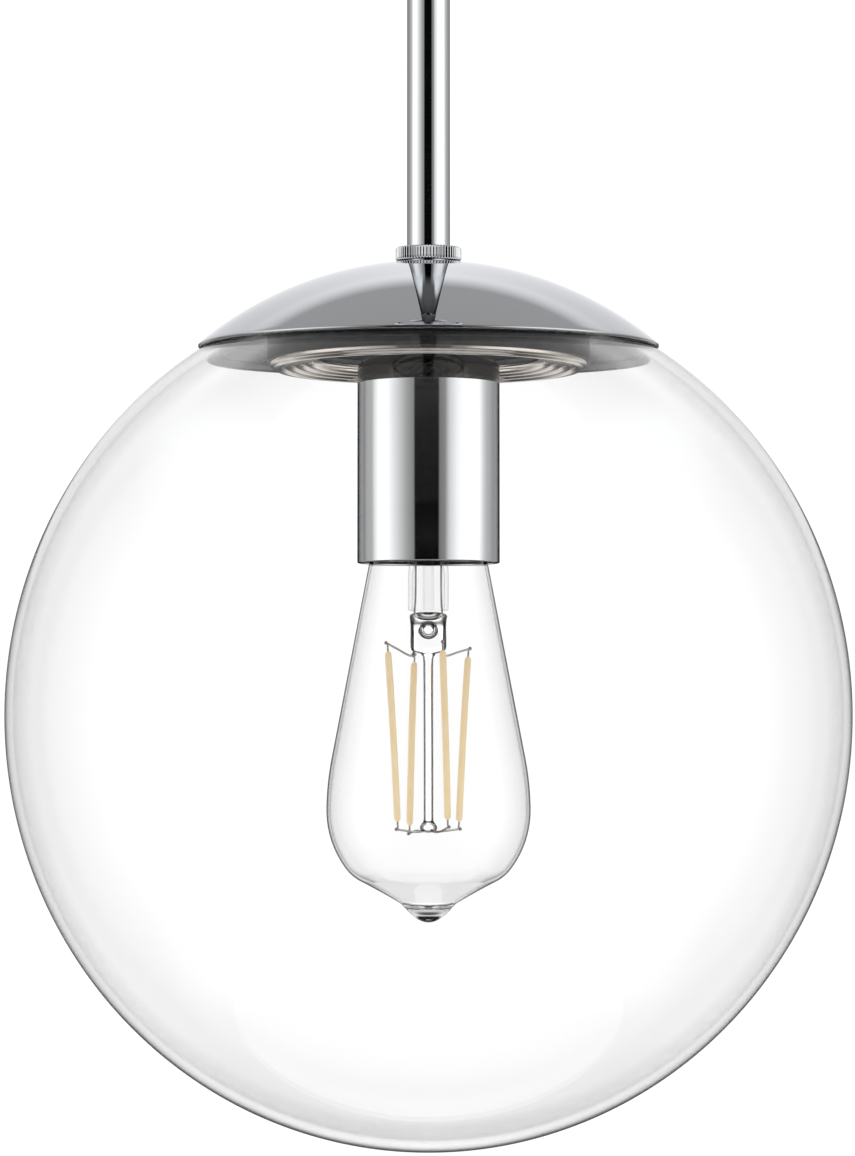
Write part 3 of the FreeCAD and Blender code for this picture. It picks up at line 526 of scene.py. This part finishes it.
def phosphor():
    """Pale amber silicone, a little uneven along the rod, with a faint painted glow."""
    m = Material("phosphor", ior=1.43)
    m.feed("Base Color", m.ramp(m.noise(220, 3), (0.3, (1.0, 0.80, 0.50)), (0.7, (1.0, 0.88, 0.62))))
    m.feed("Roughness", m.ramp(m.noise(2500, 3), (0.3, 0.4), (0.7, 0.6)))
    m.bump(m.noise(1800, 3), 0.00005)
    # Painted light: the filaments glow faintly though the lamp is off, standing in for light that reaches
    # them through the glass.
    m.shader.inputs["Emission Color"].default_value = (1.0, 0.74, 0.40, 1)
    m.shader.inputs["Emission Strength"].default_value = 0.3
    return m.material


def floor_paint():
    m = Material("floor_paint")
    m.feed("Base Color", m.ramp(m.noise(3, 5), (0.3, 0.78), (0.7, 0.82)))
    m.feed("Roughness", m.ramp(m.noise(40, 4), (0.3, 0.6), (0.7, 0.75)))
    return m.material


MATERIALS = {
    "chrome": chrome(),
    "zinc_steel": zinc(),
    "nickel": nickel(),
    "brass": brass(),
    "dark_steel": dark_steel(),
    "green_earth": earth_green(),
    "globe_glass": blown_glass(),
    "bulb_glass": lamp_glass(),
    "silicone": silicone(),
    "clear_bond": clear_bond(),
    "dark_rubber": dark_rubber(),
    "ceramic": porcelain(),
    "black_glass": vitrite(),
    "solder": solder(),
    "phosphor": phosphor(),
}
# The dome's chrome is a darker copy face on, as painted shade, with a light grazing edge.
SHADED_DOME_CHROME = chrome("dome_chrome_shaded", (0.7, 0.71, 0.73), (0.82, 0.83, 0.85))
RING_CHROME = warm_chrome()
PAINTED_SHADE_METAL = painted_shade_metal()
TUBE_GLASS = tube_glass()
# Same painted dark outline, over a wider band of angles, for the press, rod and exhaust collar.
ROD_GLASS = lamp_glass("rod_glass", ((0.12, 0.985), (0.22, 0.06), (1.0, 0.0)))
NODE_SLOTS = {part["node"]: part["material_slot"] for part in frame["record"]["subparts"]}
NODE_BODIES = {
    node: body for body, members in frame["record"]["behaviour"]["bodies"].items() for node in members
}


def dress_cad_nodes():
    for name, cad in frame["nodes"].items():
        cad.data.materials.clear()
        cad.data.materials.append(MATERIALS[NODE_SLOTS[name]])


def stands_for(piece, node, *more, material=None):
    """The piece takes the body, slot and material of the first of the CAD nodes that it replaces."""
    piece.data.materials.clear()
    piece.data.materials.append(material or MATERIALS[NODE_SLOTS[node]])
    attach(piece, NODE_BODIES[node])
    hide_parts(node, *more)
    return piece


def paint(piece, material, chosen):
    """Gives the faces that chosen(face) picks another material."""
    piece.data.materials.append(material)
    for face in piece.data.polygons:
        if chosen(face):
            face.material_index = 1


# ---------------------------------------------------------------- globe and head
def globe_wall():
    """Outline of the globe: outside from the mouth down, and inside back up to a rounded lip."""
    rings = 120
    inner_r = GLOBE_R - GLASS_SIDE
    inner_h = GLOBE_HALF_HEIGHT - GLASS_POLE
    out_start = math.asin(MOUTH_R / GLOBE_R)
    in_start = math.asin(MOUTH_R / inner_r)
    points = []
    for k in range(rings + 1):
        t = out_start + (math.pi - out_start) * k / rings
        points.append((GLOBE_R * math.sin(t), GLOBE_HALF_HEIGHT * math.cos(t)))
    points[-1] = (0, -GLOBE_HALF_HEIGHT)
    inside = []
    for k in range(rings + 1):
        t = in_start + (math.pi - in_start) * k / rings
        inside.append((inner_r * math.sin(t), inner_h * math.cos(t)))
    inside[-1] = (0, -inner_h)
    points += inside[::-1]
    middle = (MOUTH_R - 0.6 * GLASS_SIDE / 2, (points[0][1] + points[-1][1]) / 2)
    return points + arc_points(points[-1], middle, points[0], 8)[:-1]


def dome_outline():
    hole = STEM_R + 0.15
    shrink = (DOME_R - DOME_WALL) / DOME_R
    centre = DOME_TOP - DOME_R
    low = dome_z(DOME_RIM_R)
    inner_r = DOME_RIM_R * shrink
    inner_low = centre + (low - centre) * shrink
    half = (DOME_WALL / 2) * 0.85
    nose = (
        (DOME_RIM_R + inner_r) / 2 + half * (low - centre) / DOME_R,
        (low + inner_low) / 2 - half * DOME_RIM_R / DOME_R,
    )
    belly = 0.55 * DOME_RIM_R
    return outline(
        (hole, dome_z(hole)),
        ((belly, dome_z(belly)), (DOME_RIM_R, low)),
        (nose, (inner_r, inner_low)),
        ((belly, dome_z(belly, DOME_WALL)), (hole, dome_z(hole, DOME_WALL))),
        arc_steps=40,
    )


def gasket_outline():
    inner, outer = 64.6, 66.6
    return outline(
        (inner, glass_z(inner) + 0.35),
        (outer, glass_z(outer) + 0.35),
        (outer, dome_z(outer, DOME_WALL + 0.02)),
        (inner, dome_z(inner, DOME_WALL + 0.02)),
    )


def ring_outline():
    """Globe ring: rolled beads underneath, a wall, and a flange that follows the glass."""
    beads = 4
    bead_start = RING_R - 1.2
    bead_width = (bead_start - RING_OPENING_R - 1.6) / beads
    bead_rise = 0.55
    seat = RING_FOOT + 3.4
    wall_in = RING_R - RING_WALL
    top_low = glass_z(RING_R + 1.0, 0.5)
    underside = []
    for k in range(beads):
        r = bead_start - k * bead_width
        z = RING_FOOT + k * bead_rise
        underside.append(((r - 0.5 * bead_width, z - 0.75), (r - bead_width, z + bead_rise)))
    return outline(
        (bead_start, RING_FOOT),
        *underside,
        (RING_OPENING_R, seat - 0.7),
        (RING_OPENING_R, seat),
        (38.0, seat),
        (wall_in, RING_FOOT + 1.3),
        (wall_in, top_low + 1.0),
        (wall_in + 0.9, top_low + 1.35),
        ((51.0, glass_z(51.0, 0.5) + 1.05), (55.0, glass_z(55.0, 0.5) + 0.9)),
        (55.0, glass_z(55.0, 0.5)),
        ((51.3, glass_z(51.3, 0.5)), (RING_R + 0.6, glass_z(RING_R + 0.6, 0.5))),
        (RING_R, glass_z(RING_R, 0.5) - 0.9),
        (RING_R, RING_FOOT + 1.2),
        ((RING_R - 0.35, RING_FOOT + 0.35), (bead_start, RING_FOOT)),
        arc_steps=10,
    )


def holder_outline():
    plate = 1.5
    wall = 1.4
    top = 117.0
    foot = HOLDER_FOOT
    pitch, depth = 1.8, 0.4
    thread = []
    for turn in range(int((top - 0.4 - foot - 1.2) / pitch)):
        z = foot + 1.2 + turn * pitch
        thread += [(HOLDER_R - depth, z), (HOLDER_R, z + 0.35 * pitch), (HOLDER_R, z + 0.65 * pitch)]
    return outline(
        (THREAD_R + GAP, foot),
        (HOLDER_R - 1.0, foot),
        ((HOLDER_R - 0.6, foot + 0.3), (HOLDER_R - 0.45, foot + 1.0)),
        *thread,
        (HOLDER_R - 0.4, top - 0.4),
        (HOLDER_R - 0.4, top),
        (HOLDER_R - wall, top),
        (HOLDER_R - wall, foot + plate + 1.0),
        ((HOLDER_R - wall - 0.3, foot + plate + 0.3), (HOLDER_R - wall - 1.0, foot + plate)),
        (16.0, foot + plate),
        (15.0, foot + plate + 0.9),
        (THREAD_R + GAP, foot + plate + 0.9),
        arc_steps=6,
    )


def cup_outline():
    corner = 3.0
    bend = 1 - math.sqrt(0.5)
    inner = CUP_R - CUP_WALL
    small = corner - CUP_WALL
    return outline(
        (THREAD_R + GAP, CUP_TOP),
        (CUP_R - corner, CUP_TOP),
        ((CUP_R - corner * bend, CUP_TOP - corner * bend), (CUP_R, CUP_TOP - corner)),
        (CUP_R, CUP_SHADE_LINE),
        (CUP_R, CUP_FOOT + 0.3),
        ((CUP_R - 0.15, CUP_FOOT + 0.08), (CUP_R - 0.5, CUP_FOOT)),
        ((inner + 0.12, CUP_FOOT + 0.1), (inner, CUP_FOOT + 0.4)),
        (inner, CUP_TOP - corner),
        ((inner - small * bend, CUP_TOP - CUP_WALL - small * bend), (CUP_R - corner, CUP_TOP - CUP_WALL)),
        (THREAD_R + GAP, CUP_TOP - CUP_WALL),
        arc_steps=12,
    )


def tube_outline(z_low, z_high):
    edge = 0.25
    return outline(
        (STEM_BORE_R, z_low),
        (STEM_R - edge, z_low),
        ((STEM_R - 0.3 * edge, z_low + 0.3 * edge), (STEM_R, z_low + edge)),
        (STEM_R, z_high - edge),
        ((STEM_R - 0.3 * edge, z_high - 0.3 * edge), (STEM_R - edge, z_high)),
        (STEM_BORE_R, z_high),
        arc_steps=5,
    )


def collar_outline():
    low = DOME_TOP + 0.1
    high = low + COLLAR_HEIGHT
    bore = STEM_R + 0.15
    bevel = 0.4
    return outline(
        (bore + bevel, low),
        (COLLAR_R - bevel - 0.3, low),
        ((COLLAR_R - 0.35, low + 0.15), (COLLAR_R, low + 0.5)),
        (COLLAR_R, high - 0.5),
        ((COLLAR_R - 0.35, high - 0.15), (COLLAR_R - bevel - 0.3, high)),
        (bore + bevel, high),
        (bore, high - bevel),
        (bore, low + bevel),
        arc_steps=4,
    )


def knurl(teeth, depth, r_full):
    """Section that is toothed at the full radius and plain inside it."""

    def radius(r, z, angle):
        if r < r_full - 0.2:
            return min(r, r_full - depth - 0.05) if r > r_full - 1.0 else r
        wave = 0.5 + 0.5 * math.cos(teeth * angle)
        return r - depth * (1 - wave**0.6)

    return radius


def globe_pieces():
    lathed = {
        "globe_glass": globe_wall(),
        "dome_cap": dome_outline(),
        "cap_gasket": gasket_outline(),
        "globe_ring": ring_outline(),
        "holder_disc": holder_outline(),
        "socket_cup": cup_outline(),
    }
    # The dome's darker chrome and the holder disc's dark metal are painted shade.
    special = {"dome_cap": SHADED_DOME_CHROME, "globe_ring": RING_CHROME, "holder_disc": PAINTED_SHADE_METAL}
    for node, points in lathed.items():
        piece = stands_for(lathe(node + "_look", points), node, material=special.get(node))
        if node == "dome_cap":
            # Painted shade on the dome's underside, the faces that look down
            paint(piece, PAINTED_SHADE_METAL, lambda face: face.normal.z < 0)
        if node == "socket_cup":
            # Painted shade on the cup's top, just under the holder
            shade_line = GLOBE_Z + CUP_SHADE_LINE * MM
            paint(piece, PAINTED_SHADE_METAL, lambda face: face.center.z > shade_line)
    collar = lathe("collar_look", collar_outline(), segments=COLLAR_TEETH * 12,
                   radius=knurl(COLLAR_TEETH, 0.35, COLLAR_R), sharp=60)
    stands_for(collar, "collar")


def stem_pieces():
    for node in ("stem_upper", "stem_lower"):
        low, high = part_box(node)
        piece = lathe(node + "_look", tube_outline(low.z / MM, high.z / MM), z_zero=0.0, segments=128)
        stands_for(piece, node)


def canopy_outline():
    hole, side, crown, shoulder = 11.0, 7.0, 2.5, 15.0
    face = -CANOPY_DEPTH
    w = CANOPY_WALL
    drop = CANOPY_DEPTH - side - crown
    mid_out = (CANOPY_R - 0.3 * shoulder, -side - 0.62 * drop)
    mid_in = (mid_out[0] - 0.72 * w, mid_out[1] + 0.7 * w)
    return outline(
        (CANOPY_R - w, 0),
        (CANOPY_R, 0),
        (CANOPY_R, -side),
        (mid_out, (CANOPY_R - shoulder, face + crown)),
        ((0.55 * CANOPY_R, face + 0.5 * crown), (hole, face)),
        (hole, face + w),
        ((0.55 * CANOPY_R, face + 0.5 * crown + w), (CANOPY_R - shoulder, face + crown + w)),
        (mid_in, (CANOPY_R - w, -side)),
        arc_steps=32,
    )


# ---------------------------------------------------------------- lamp
def tangent_arc(start, heading, end):
    """Arc that leaves start along heading, in radians: its middle, and its heading at end."""
    chord = math.atan2(end[1] - start[1], end[0] - start[0])
    turn = chord - heading
    reach = math.dist(start, end) / (2 * math.cos(turn / 2))
    along = chord - turn / 2
    return (start[0] + reach * math.cos(along), start[1] + reach * math.sin(along)), chord + turn


def moved_in(point, heading, inset):
    """The point moved towards the lamp's axis, square to an outline that runs down along heading."""
    return point[0] + inset * math.sin(heading), point[1] - inset * math.cos(heading)


def lamp_side(inset):
    """Steps of the bulb's side from its neck down to its tip, moved inwards. Each arc leaves smoothly."""
    here, first = LAMP_JOINTS[:2]
    heading = math.atan2(first[1] - here[1], first[0] - here[0])
    neck = LAMP_NECK_R - inset
    shoulder = ((neck + 1.3, 48.6), moved_in(here, heading, inset))
    steps = [(neck, 50.9), shoulder, moved_in(first, heading, inset)]
    here = first
    for joint in LAMP_JOINTS[2:]:
        middle, after = tangent_arc(here, heading, joint)
        steps.append((moved_in(middle, (heading + after) / 2, inset), moved_in(joint, after, inset)))
        here, heading = joint, after
    return steps


def droplet():
    """The sealed tip: a smooth nub under the bulb's rounded end."""
    before, start = LAMP_JOINTS[-2:]
    ways = [
        before, start, (7.6, -56.6), (6.2, -58.1), (4.6, -59.6), (2.8, -60.85), (1.3, -61.45),
        (POLE, LAMP_TIP),
    ]
    curve = smooth_path([Vector((r, z, 0)) for r, z in ways], 6)
    return [(p.x, p.y) for p in curve[7:]]


def lamp_outline():
    """Envelope with a thick sealed tip, as in the CAD model."""
    inner = lamp_side(LAMP_WALL)
    ends = [inner[0], inner[1][1], inner[2]] + [end for _, end in inner[3:]]
    up_the_inside = [(inner[k][0], ends[k - 1]) for k in range(len(inner) - 1, 2, -1)]
    return outline(
        (LAMP_NECK_R - LAMP_WALL, LAMP_NECK_TOP),
        (LAMP_NECK_R, LAMP_NECK_TOP),
        *lamp_side(0.0),
        *droplet(),
        (0, LAMP_TIP),
        (0, LAMP_FLOOR),
        (POLE, LAMP_FLOOR),
        ((5.0, -56.6), ends[-1]),
        *up_the_inside,
        ends[1],
        (inner[1][0], ends[0]),
        arc_steps=20,
    )


# The filaments stand on two rings; each leans in and turns a little on its way down.
FILAMENT_R = 1.0
FILAMENT_TOP_R = 12.6
FILAMENT_FOOT_R = 10.7
FILAMENT_TOP_ANGLE = 19.3
FILAMENT_FOOT_ANGLE = 31.7
FILAMENT_TOPS = (17.4, 15.9, 18.8, 19.0)
FILAMENT_FEET = (-31.9, -33.2, -31.7, -31.0)
TAB = 2.2
TAB_R = 0.28
WIRE_R = 0.3
BEAD_R = 0.55


def around(angle_deg, r, z):
    a = math.radians(angle_deg)
    return Vector((r * math.cos(a), r * math.sin(a), z))


def filament_ends():
    """(top, foot) of each filament, counter-clockwise from the right-hand one."""
    ends = []
    for k in range(4):
        top = around(FILAMENT_TOP_ANGLE + 90 * k, FILAMENT_TOP_R, FILAMENT_TOPS[k])
        foot = around(FILAMENT_FOOT_ANGLE + 90 * k, FILAMENT_FOOT_R, FILAMENT_FEET[k])
        ends.append((top, foot))
    return ends


def flare():
    """Glass tube flared out at its top, open down to the press, with the exhaust tube in it."""
    wall = outline(
        (4.95, 31.4),
        (4.95, 42.0),
        ((5.1, 47.0), (7.4, 50.0)),
        ((8.6, 51.6), (10.4, 52.0)),
        (11.0, 52.6),
        ((11.5, 53.2), (11.4, 52.4)),
        ((9.9, 51.9), (8.9, 50.6)),
        ((6.5, 47.0), (6.02, 42.0)),
        (6.0, 31.4),
        ((5.47, 30.9), (4.95, 31.4)),
    )
    pieces = (
        lathe("flare", wall, segments=96),
        lathe("exhaust_tube", outline((1.15, 31.2), (1.65, 31.2), (1.65, 53.0), (1.15, 53.0)), segments=48),
    )
    for piece in pieces:
        piece.data.materials.append(TUBE_GLASS)
        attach(piece, "lamp")


def glass_mount():
    """The flare's foot drawn into a flat press with an exhaust hole, and the rod with its bead."""
    top = [(30.5, 0.4, 0.3), (30.45, 2.6, 2.2), (30.2, 4.4, 3.9), (29.7, 5.4, 4.7), (29.1, 5.6, 4.5)]
    press = [
        (28.0, 5.4, 3.7), (26.4, 5.25, 2.8), (24.5, 5.25, 2.35), (22.0, 5.3, 2.25), (20.2, 5.3, 2.25),
        (19.3, 5.1, 2.1), (18.7, 4.5, 1.8), (18.4, 3.4, 1.6), (18.1, 2.2, 1.5), (17.2, 1.6, 1.45),
        (15.5, 1.45, 1.45),
    ]
    rod = [(z, 1.4, 1.4) for z in (8.0, -4.0, -16.0, -28.0, -31.0)]
    bead = [(-31.8, 1.6, 1.6), (-32.4, 2.1, 2.1), (-33.1, 2.5, 2.5), (-33.8, 2.55, 2.55), (-34.4, 2.2, 2.2),
            (-34.8, 1.5, 1.5), (-35.0, 0.3, 0.3)]
    piece = loft("glass_mount", top + press + rod + bead)
    hole = lathe("hole", outline((0, -7.0), (1.3, -7.0), (1.3, 7.0), (0, 7.0)), z_zero=0.0, segments=48)
    turned_to_hole(hole)
    bpy.context.view_layer.update()
    cut(piece, hole)
    return piece


def exhaust_ring():
    """Rounded glass collar round the exhaust hole, front and back."""
    middle, thick, proud = 2.1, 0.62, 2.7
    ring = [(middle + thick * math.cos(a), proud + thick * math.sin(a)) for a in arc_angles(16)]
    for name, side in (("exhaust_ring_front", 1), ("exhaust_ring_back", -1)):
        piece = lathe(name, [(r, side * z) for r, z in ring], z_zero=0.0, segments=64, sharp=180)
        turned_to_hole(piece)
        piece.data.materials.append(ROD_GLASS)
        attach(piece, "lamp")


def turned_to_hole(piece):
    """Turns a piece made about the upright axis so that it lies along the exhaust hole."""
    rotation = Matrix.Rotation(math.radians(90), 4, "X")
    piece.data.transform(Matrix.Translation((0, 0, HOLE_Z * MM + GLOBE_Z)) @ rotation)
    piece.data.update()


def lead_wires():
    """Two leads down through the press, each splitting to a neighbouring pair of filaments."""
    ends = filament_ends()
    parts = []
    for side, near, far in ((1, 3, 0), (-1, 1, 2)):
        parts.append(wire([(side * 3.8, 0, 54), (side * 3.8, 0, 36), (side * 4.2, 0, 29), (side * 4.3, 0, 22),
                           (side * 4.3, 0, 17.9)], WIRE_R))
        for k in (near, far):
            top, foot = ends[k]
            tip = top + (top - foot).normalized() * TAB
            lean = 1 if tip.y > 0 else -1
            elbow = (side * 5.4, lean * 0.9, 17.5) if k == far else (side * 4.5, lean * 1.6, 17.3)
            middle = tip * 0.6 + Vector(elbow) * 0.4
            parts.append(wire([(side * 4.3, 0, 18.6), elbow, middle, tip], WIRE_R, BEAD_R))
    return rods("lead_wires_look", parts)


def hub_wires():
    parts = []
    for top, foot in filament_ends():
        tip = foot + (foot - top).normalized() * TAB
        out = Vector((tip.x, tip.y, 0)).normalized()
        start = out * 1.4 + Vector((0, 0, -34.0))
        parts.append(wire([start, out * 3.2 + Vector((0, 0, -34.7)), out * 6.4 + Vector((0, 0, -34.5)), tip],
                          WIRE_R, BEAD_R))
    return rods("hub_wires_look", parts)


def filament_tabs():
    parts = []
    for top, foot in filament_ends():
        along = (top - foot).normalized()
        for end, way in ((top, along), (foot, -along)):
            parts.append(wire([end - way * 0.4, end + way * 0.5 * TAB, end + way * TAB], TAB_R))
    return rods("filament_tabs_look", parts)


def lamp_pieces():
    stands_for(lathe("bulb_glass_look", lamp_outline(), segments=160, sharp=30), "bulb_glass")
    stands_for(glass_mount(), "bulb_stem_press", "bulb_support_rod", material=ROD_GLASS)
    flare()
    exhaust_ring()
    stands_for(lead_wires(), "bulb_lead_wires")
    stands_for(hub_wires(), "bulb_hub_wires")
    stands_for(filament_tabs(), "bulb_tabs")
    bows = (0.25, -0.3, 0.2, -0.15)
    filaments = [capsule(foot, top, FILAMENT_R, bow) for (top, foot), bow in zip(filament_ends(), bows)]
    stands_for(rods("filaments_look", filaments), "bulb_filaments")


# ---------------------------------------------------------------- camera, floor and light
CAMERA_LENS = 137.5
CAMERA_DISTANCE = 1.3076
CAMERA_DROP = 0.004
CAMERA_LEFT = 0.0003
CAMERA_PITCH = 1.95
# Floor under the globe's centre, in metres
FLOOR_DROP = 1.1
FLOOR_R = 0.8
# Level of the white surround
WHITE = 1.07
# Level of the surround off to the sides, as seen through glass
BRIGHT = 1.35 * WHITE
# Level of the soft panels that mirrors and glass reflect
PANELS = 1.15


def make_camera():
    data = bpy.data.cameras.new("camera")
    data.lens = CAMERA_LENS
    data.sensor_width = 36.0
    camera = bpy.data.objects.new("camera", data)
    camera.location = (-CAMERA_LEFT, -CAMERA_DISTANCE, GLOBE_Z - CAMERA_DROP)
    camera.rotation_euler = (math.radians(90 + CAMERA_PITCH), 0, 0)
    bpy.context.scene.collection.objects.link(camera)
    bpy.context.scene.camera = camera


def make_floor():
    height = GLOBE_Z - FLOOR_DROP
    rim = [(FLOOR_R * math.cos(a), FLOOR_R * math.sin(a), height) for a in arc_angles(FINE_SEGMENTS)]
    floor = new_mesh("floor", rim, [tuple(range(FINE_SEGMENTS))])
    floor.data.materials.append(floor_paint())


class WorldLight:
    """Builds the studio as light levels by direction."""

    def __init__(self):
        self.world = bpy.data.worlds.new("studio")
        bpy.context.scene.world = self.world
        self.world.use_nodes = True
        self.tree = self.world.node_tree
        coordinates = self.tree.nodes.new("ShaderNodeTexCoord")
        split = self.tree.nodes.new("ShaderNodeSeparateXYZ")
        self.tree.links.new(coordinates.outputs["Generated"], split.inputs[0])
        self.x, self.y, self.z = split.outputs

    def math(self, operation, *values):
        node = self.tree.nodes.new("ShaderNodeMath")
        node.operation = operation
        for socket, value in zip(node.inputs, values):
            self.put(socket, value)
        return node.outputs[0]

    def put(self, socket, value):
        if isinstance(value, (int, float, tuple)):
            socket.default_value = value
        else:
            self.tree.links.new(value, socket)

    def ramp(self, factor, *stops):
        node = self.tree.nodes.new("ShaderNodeValToRGB")
        fill_ramp(node.color_ramp, stops)
        self.put(node.inputs["Fac"], factor)
        return node.outputs["Color"]

    def fade(self, value, low, high):
        """0 below low, 1 above high, smooth between."""
        node = self.tree.nodes.new("ShaderNodeMapRange")
        node.interpolation_type = "SMOOTHSTEP"
        for socket, number in zip(node.inputs, (value, low, high, 0.0, 1.0)):
            self.put(socket, number)
        return node.outputs[0]

    def mix(self, factor, a, b):
        node = self.tree.nodes.new("ShaderNodeMix")
        node.data_type = "RGBA"
        self.put(node.inputs["Factor"], factor)
        self.put(node.inputs[6], a)
        self.put(node.inputs[7], b)
        return node.outputs[2]

    def multiply(self, a, b):
        node = self.tree.nodes.new("ShaderNodeMix")
        node.data_type = "RGBA"
        node.blend_type = "MULTIPLY"
        node.inputs["Factor"].default_value = 1.0
        self.put(node.inputs[6], a)
        self.put(node.inputs[7], b)
        return node.outputs[2]


def grey(level):
    return (level, level, level, 1)


def by_azimuth(*stops):
    """Ramp stops from (degrees, level); 0 faces the camera and positive is to the right."""
    return [((azimuth + 180) / 360, level) for azimuth, level in stops]


def make_world():
    w = WorldLight()
    azimuth = w.math("ARCTAN2", w.x, w.math("MULTIPLY", w.y, -1.0))
    turn = w.math("MULTIPLY_ADD", azimuth, 1 / math.tau, 0.5)
    around = w.ramp(
        turn,
        *by_azimuth(
            (-180, 1.0), (-165, 0.8), (-140, 0.55), (-128, 0.28), (-120, 0.41), (-105, 0.41), (-97, 0.76),
            (-88, 1.0), (-70, 1.0), (-60, 0.78), (-36, 0.33), (-24, 0.2), (-22, 0.002), (16, 0.002),
            (18, 0.16), (27, 0.22), (34, 0.58), (48, 0.88), (58, 1.0), (90, 1.0), (100, 0.64), (108, 0.46),
            (130, 0.36), (140, 0.55), (165, 0.8), (180, 1.0),
        ),
    )
    back_up = w.math("ARCTAN2", w.z, w.y)
    overhead = w.ramp(
        w.math("MULTIPLY", back_up, 1 / math.pi),
        (0.0, 1.0), (0.22, 1.0), (0.28, 0.38), (0.46, 0.34), (0.55, 0.12), (0.9, 0.1),
    )
    level = w.mix(w.fade(w.z, 0.55, 0.75), around, overhead)
    sides = w.fade(w.math("ABSOLUTE", w.x), 0.45, 0.6)
    level = w.mix(w.math("MULTIPLY", sides, w.fade(w.z, 0.5, 0.7)), level, (0.95, 0.98, 1.0, 1))
    below = w.fade(w.math("MULTIPLY", w.z, -1.0), 0.35, 0.8)
    level = w.mix(below, level, grey(0.03))

    # Glossy rays near straight back meet a dark flag; it is weaker inside the globe's wall
    path = w.tree.nodes.new("ShaderNodeLightPath")
    crossed = path.outputs["Transmission Depth"]
    off_axis = w.math("MULTIPLY", w.math("ARCCOSINE", w.y), 1 / math.pi)
    low = w.math("SUBTRACT", 1.0, w.fade(w.z, 0.1, 0.14))
    near_flag = w.ramp(off_axis, (0.0, 0.05), (0.06, 0.08), (0.09, 0.2), (0.115, 0.55), (0.15, 1.0))
    near_flag = w.mix(low, grey(1.0), near_flag)
    far_flag = w.ramp(off_axis, (0.0, 0.25), (0.03, 0.35), (0.06, 0.7), (0.09, 1.0))
    deep_flag = w.ramp(off_axis, (0.0, 0.05), (0.06, 0.1), (0.09, 0.3), (0.12, 0.7), (0.15, 1.0))
    flag = w.mix(w.math("GREATER_THAN", crossed, 0.5), near_flag, far_flag)
    flag = w.mix(w.math("GREATER_THAN", crossed, 3.5), flag, deep_flag)
    level = w.multiply(w.multiply(level, flag), grey(PANELS))

    # The surround is a little brighter off to the side, where the thick of the glass shows it
    behind = w.mix(w.fade(off_axis, 0.045, 0.09), grey(WHITE), grey(BRIGHT))
    no_matt = w.math("LESS_THAN", path.outputs["Diffuse Depth"], 0.5)
    seen_through = w.math("MULTIPLY", w.math("GREATER_THAN", crossed, 0.5), no_matt)
    plain = w.mix(seen_through, grey(WHITE), behind)
    reflected = w.math("GREATER_THAN", path.outputs["Glossy Depth"], 0.5)
    seen = w.mix(reflected, plain, level)
    background = w.tree.nodes["Background"]
    w.put(background.inputs["Color"], seen)
    background.inputs["Strength"].default_value = 1.0


def main():
    bpy.context.scene.view_settings.view_transform = "Standard"
    make_camera()
    make_floor()
    make_world()
    dress_cad_nodes()
    globe_pieces()
    stem_pieces()
    stands_for(lathe("canopy_look", canopy_outline(), z_zero=0.0), "canopy")
    lamp_pieces()


def write_sizes():
    import json


main()
write_sizes()
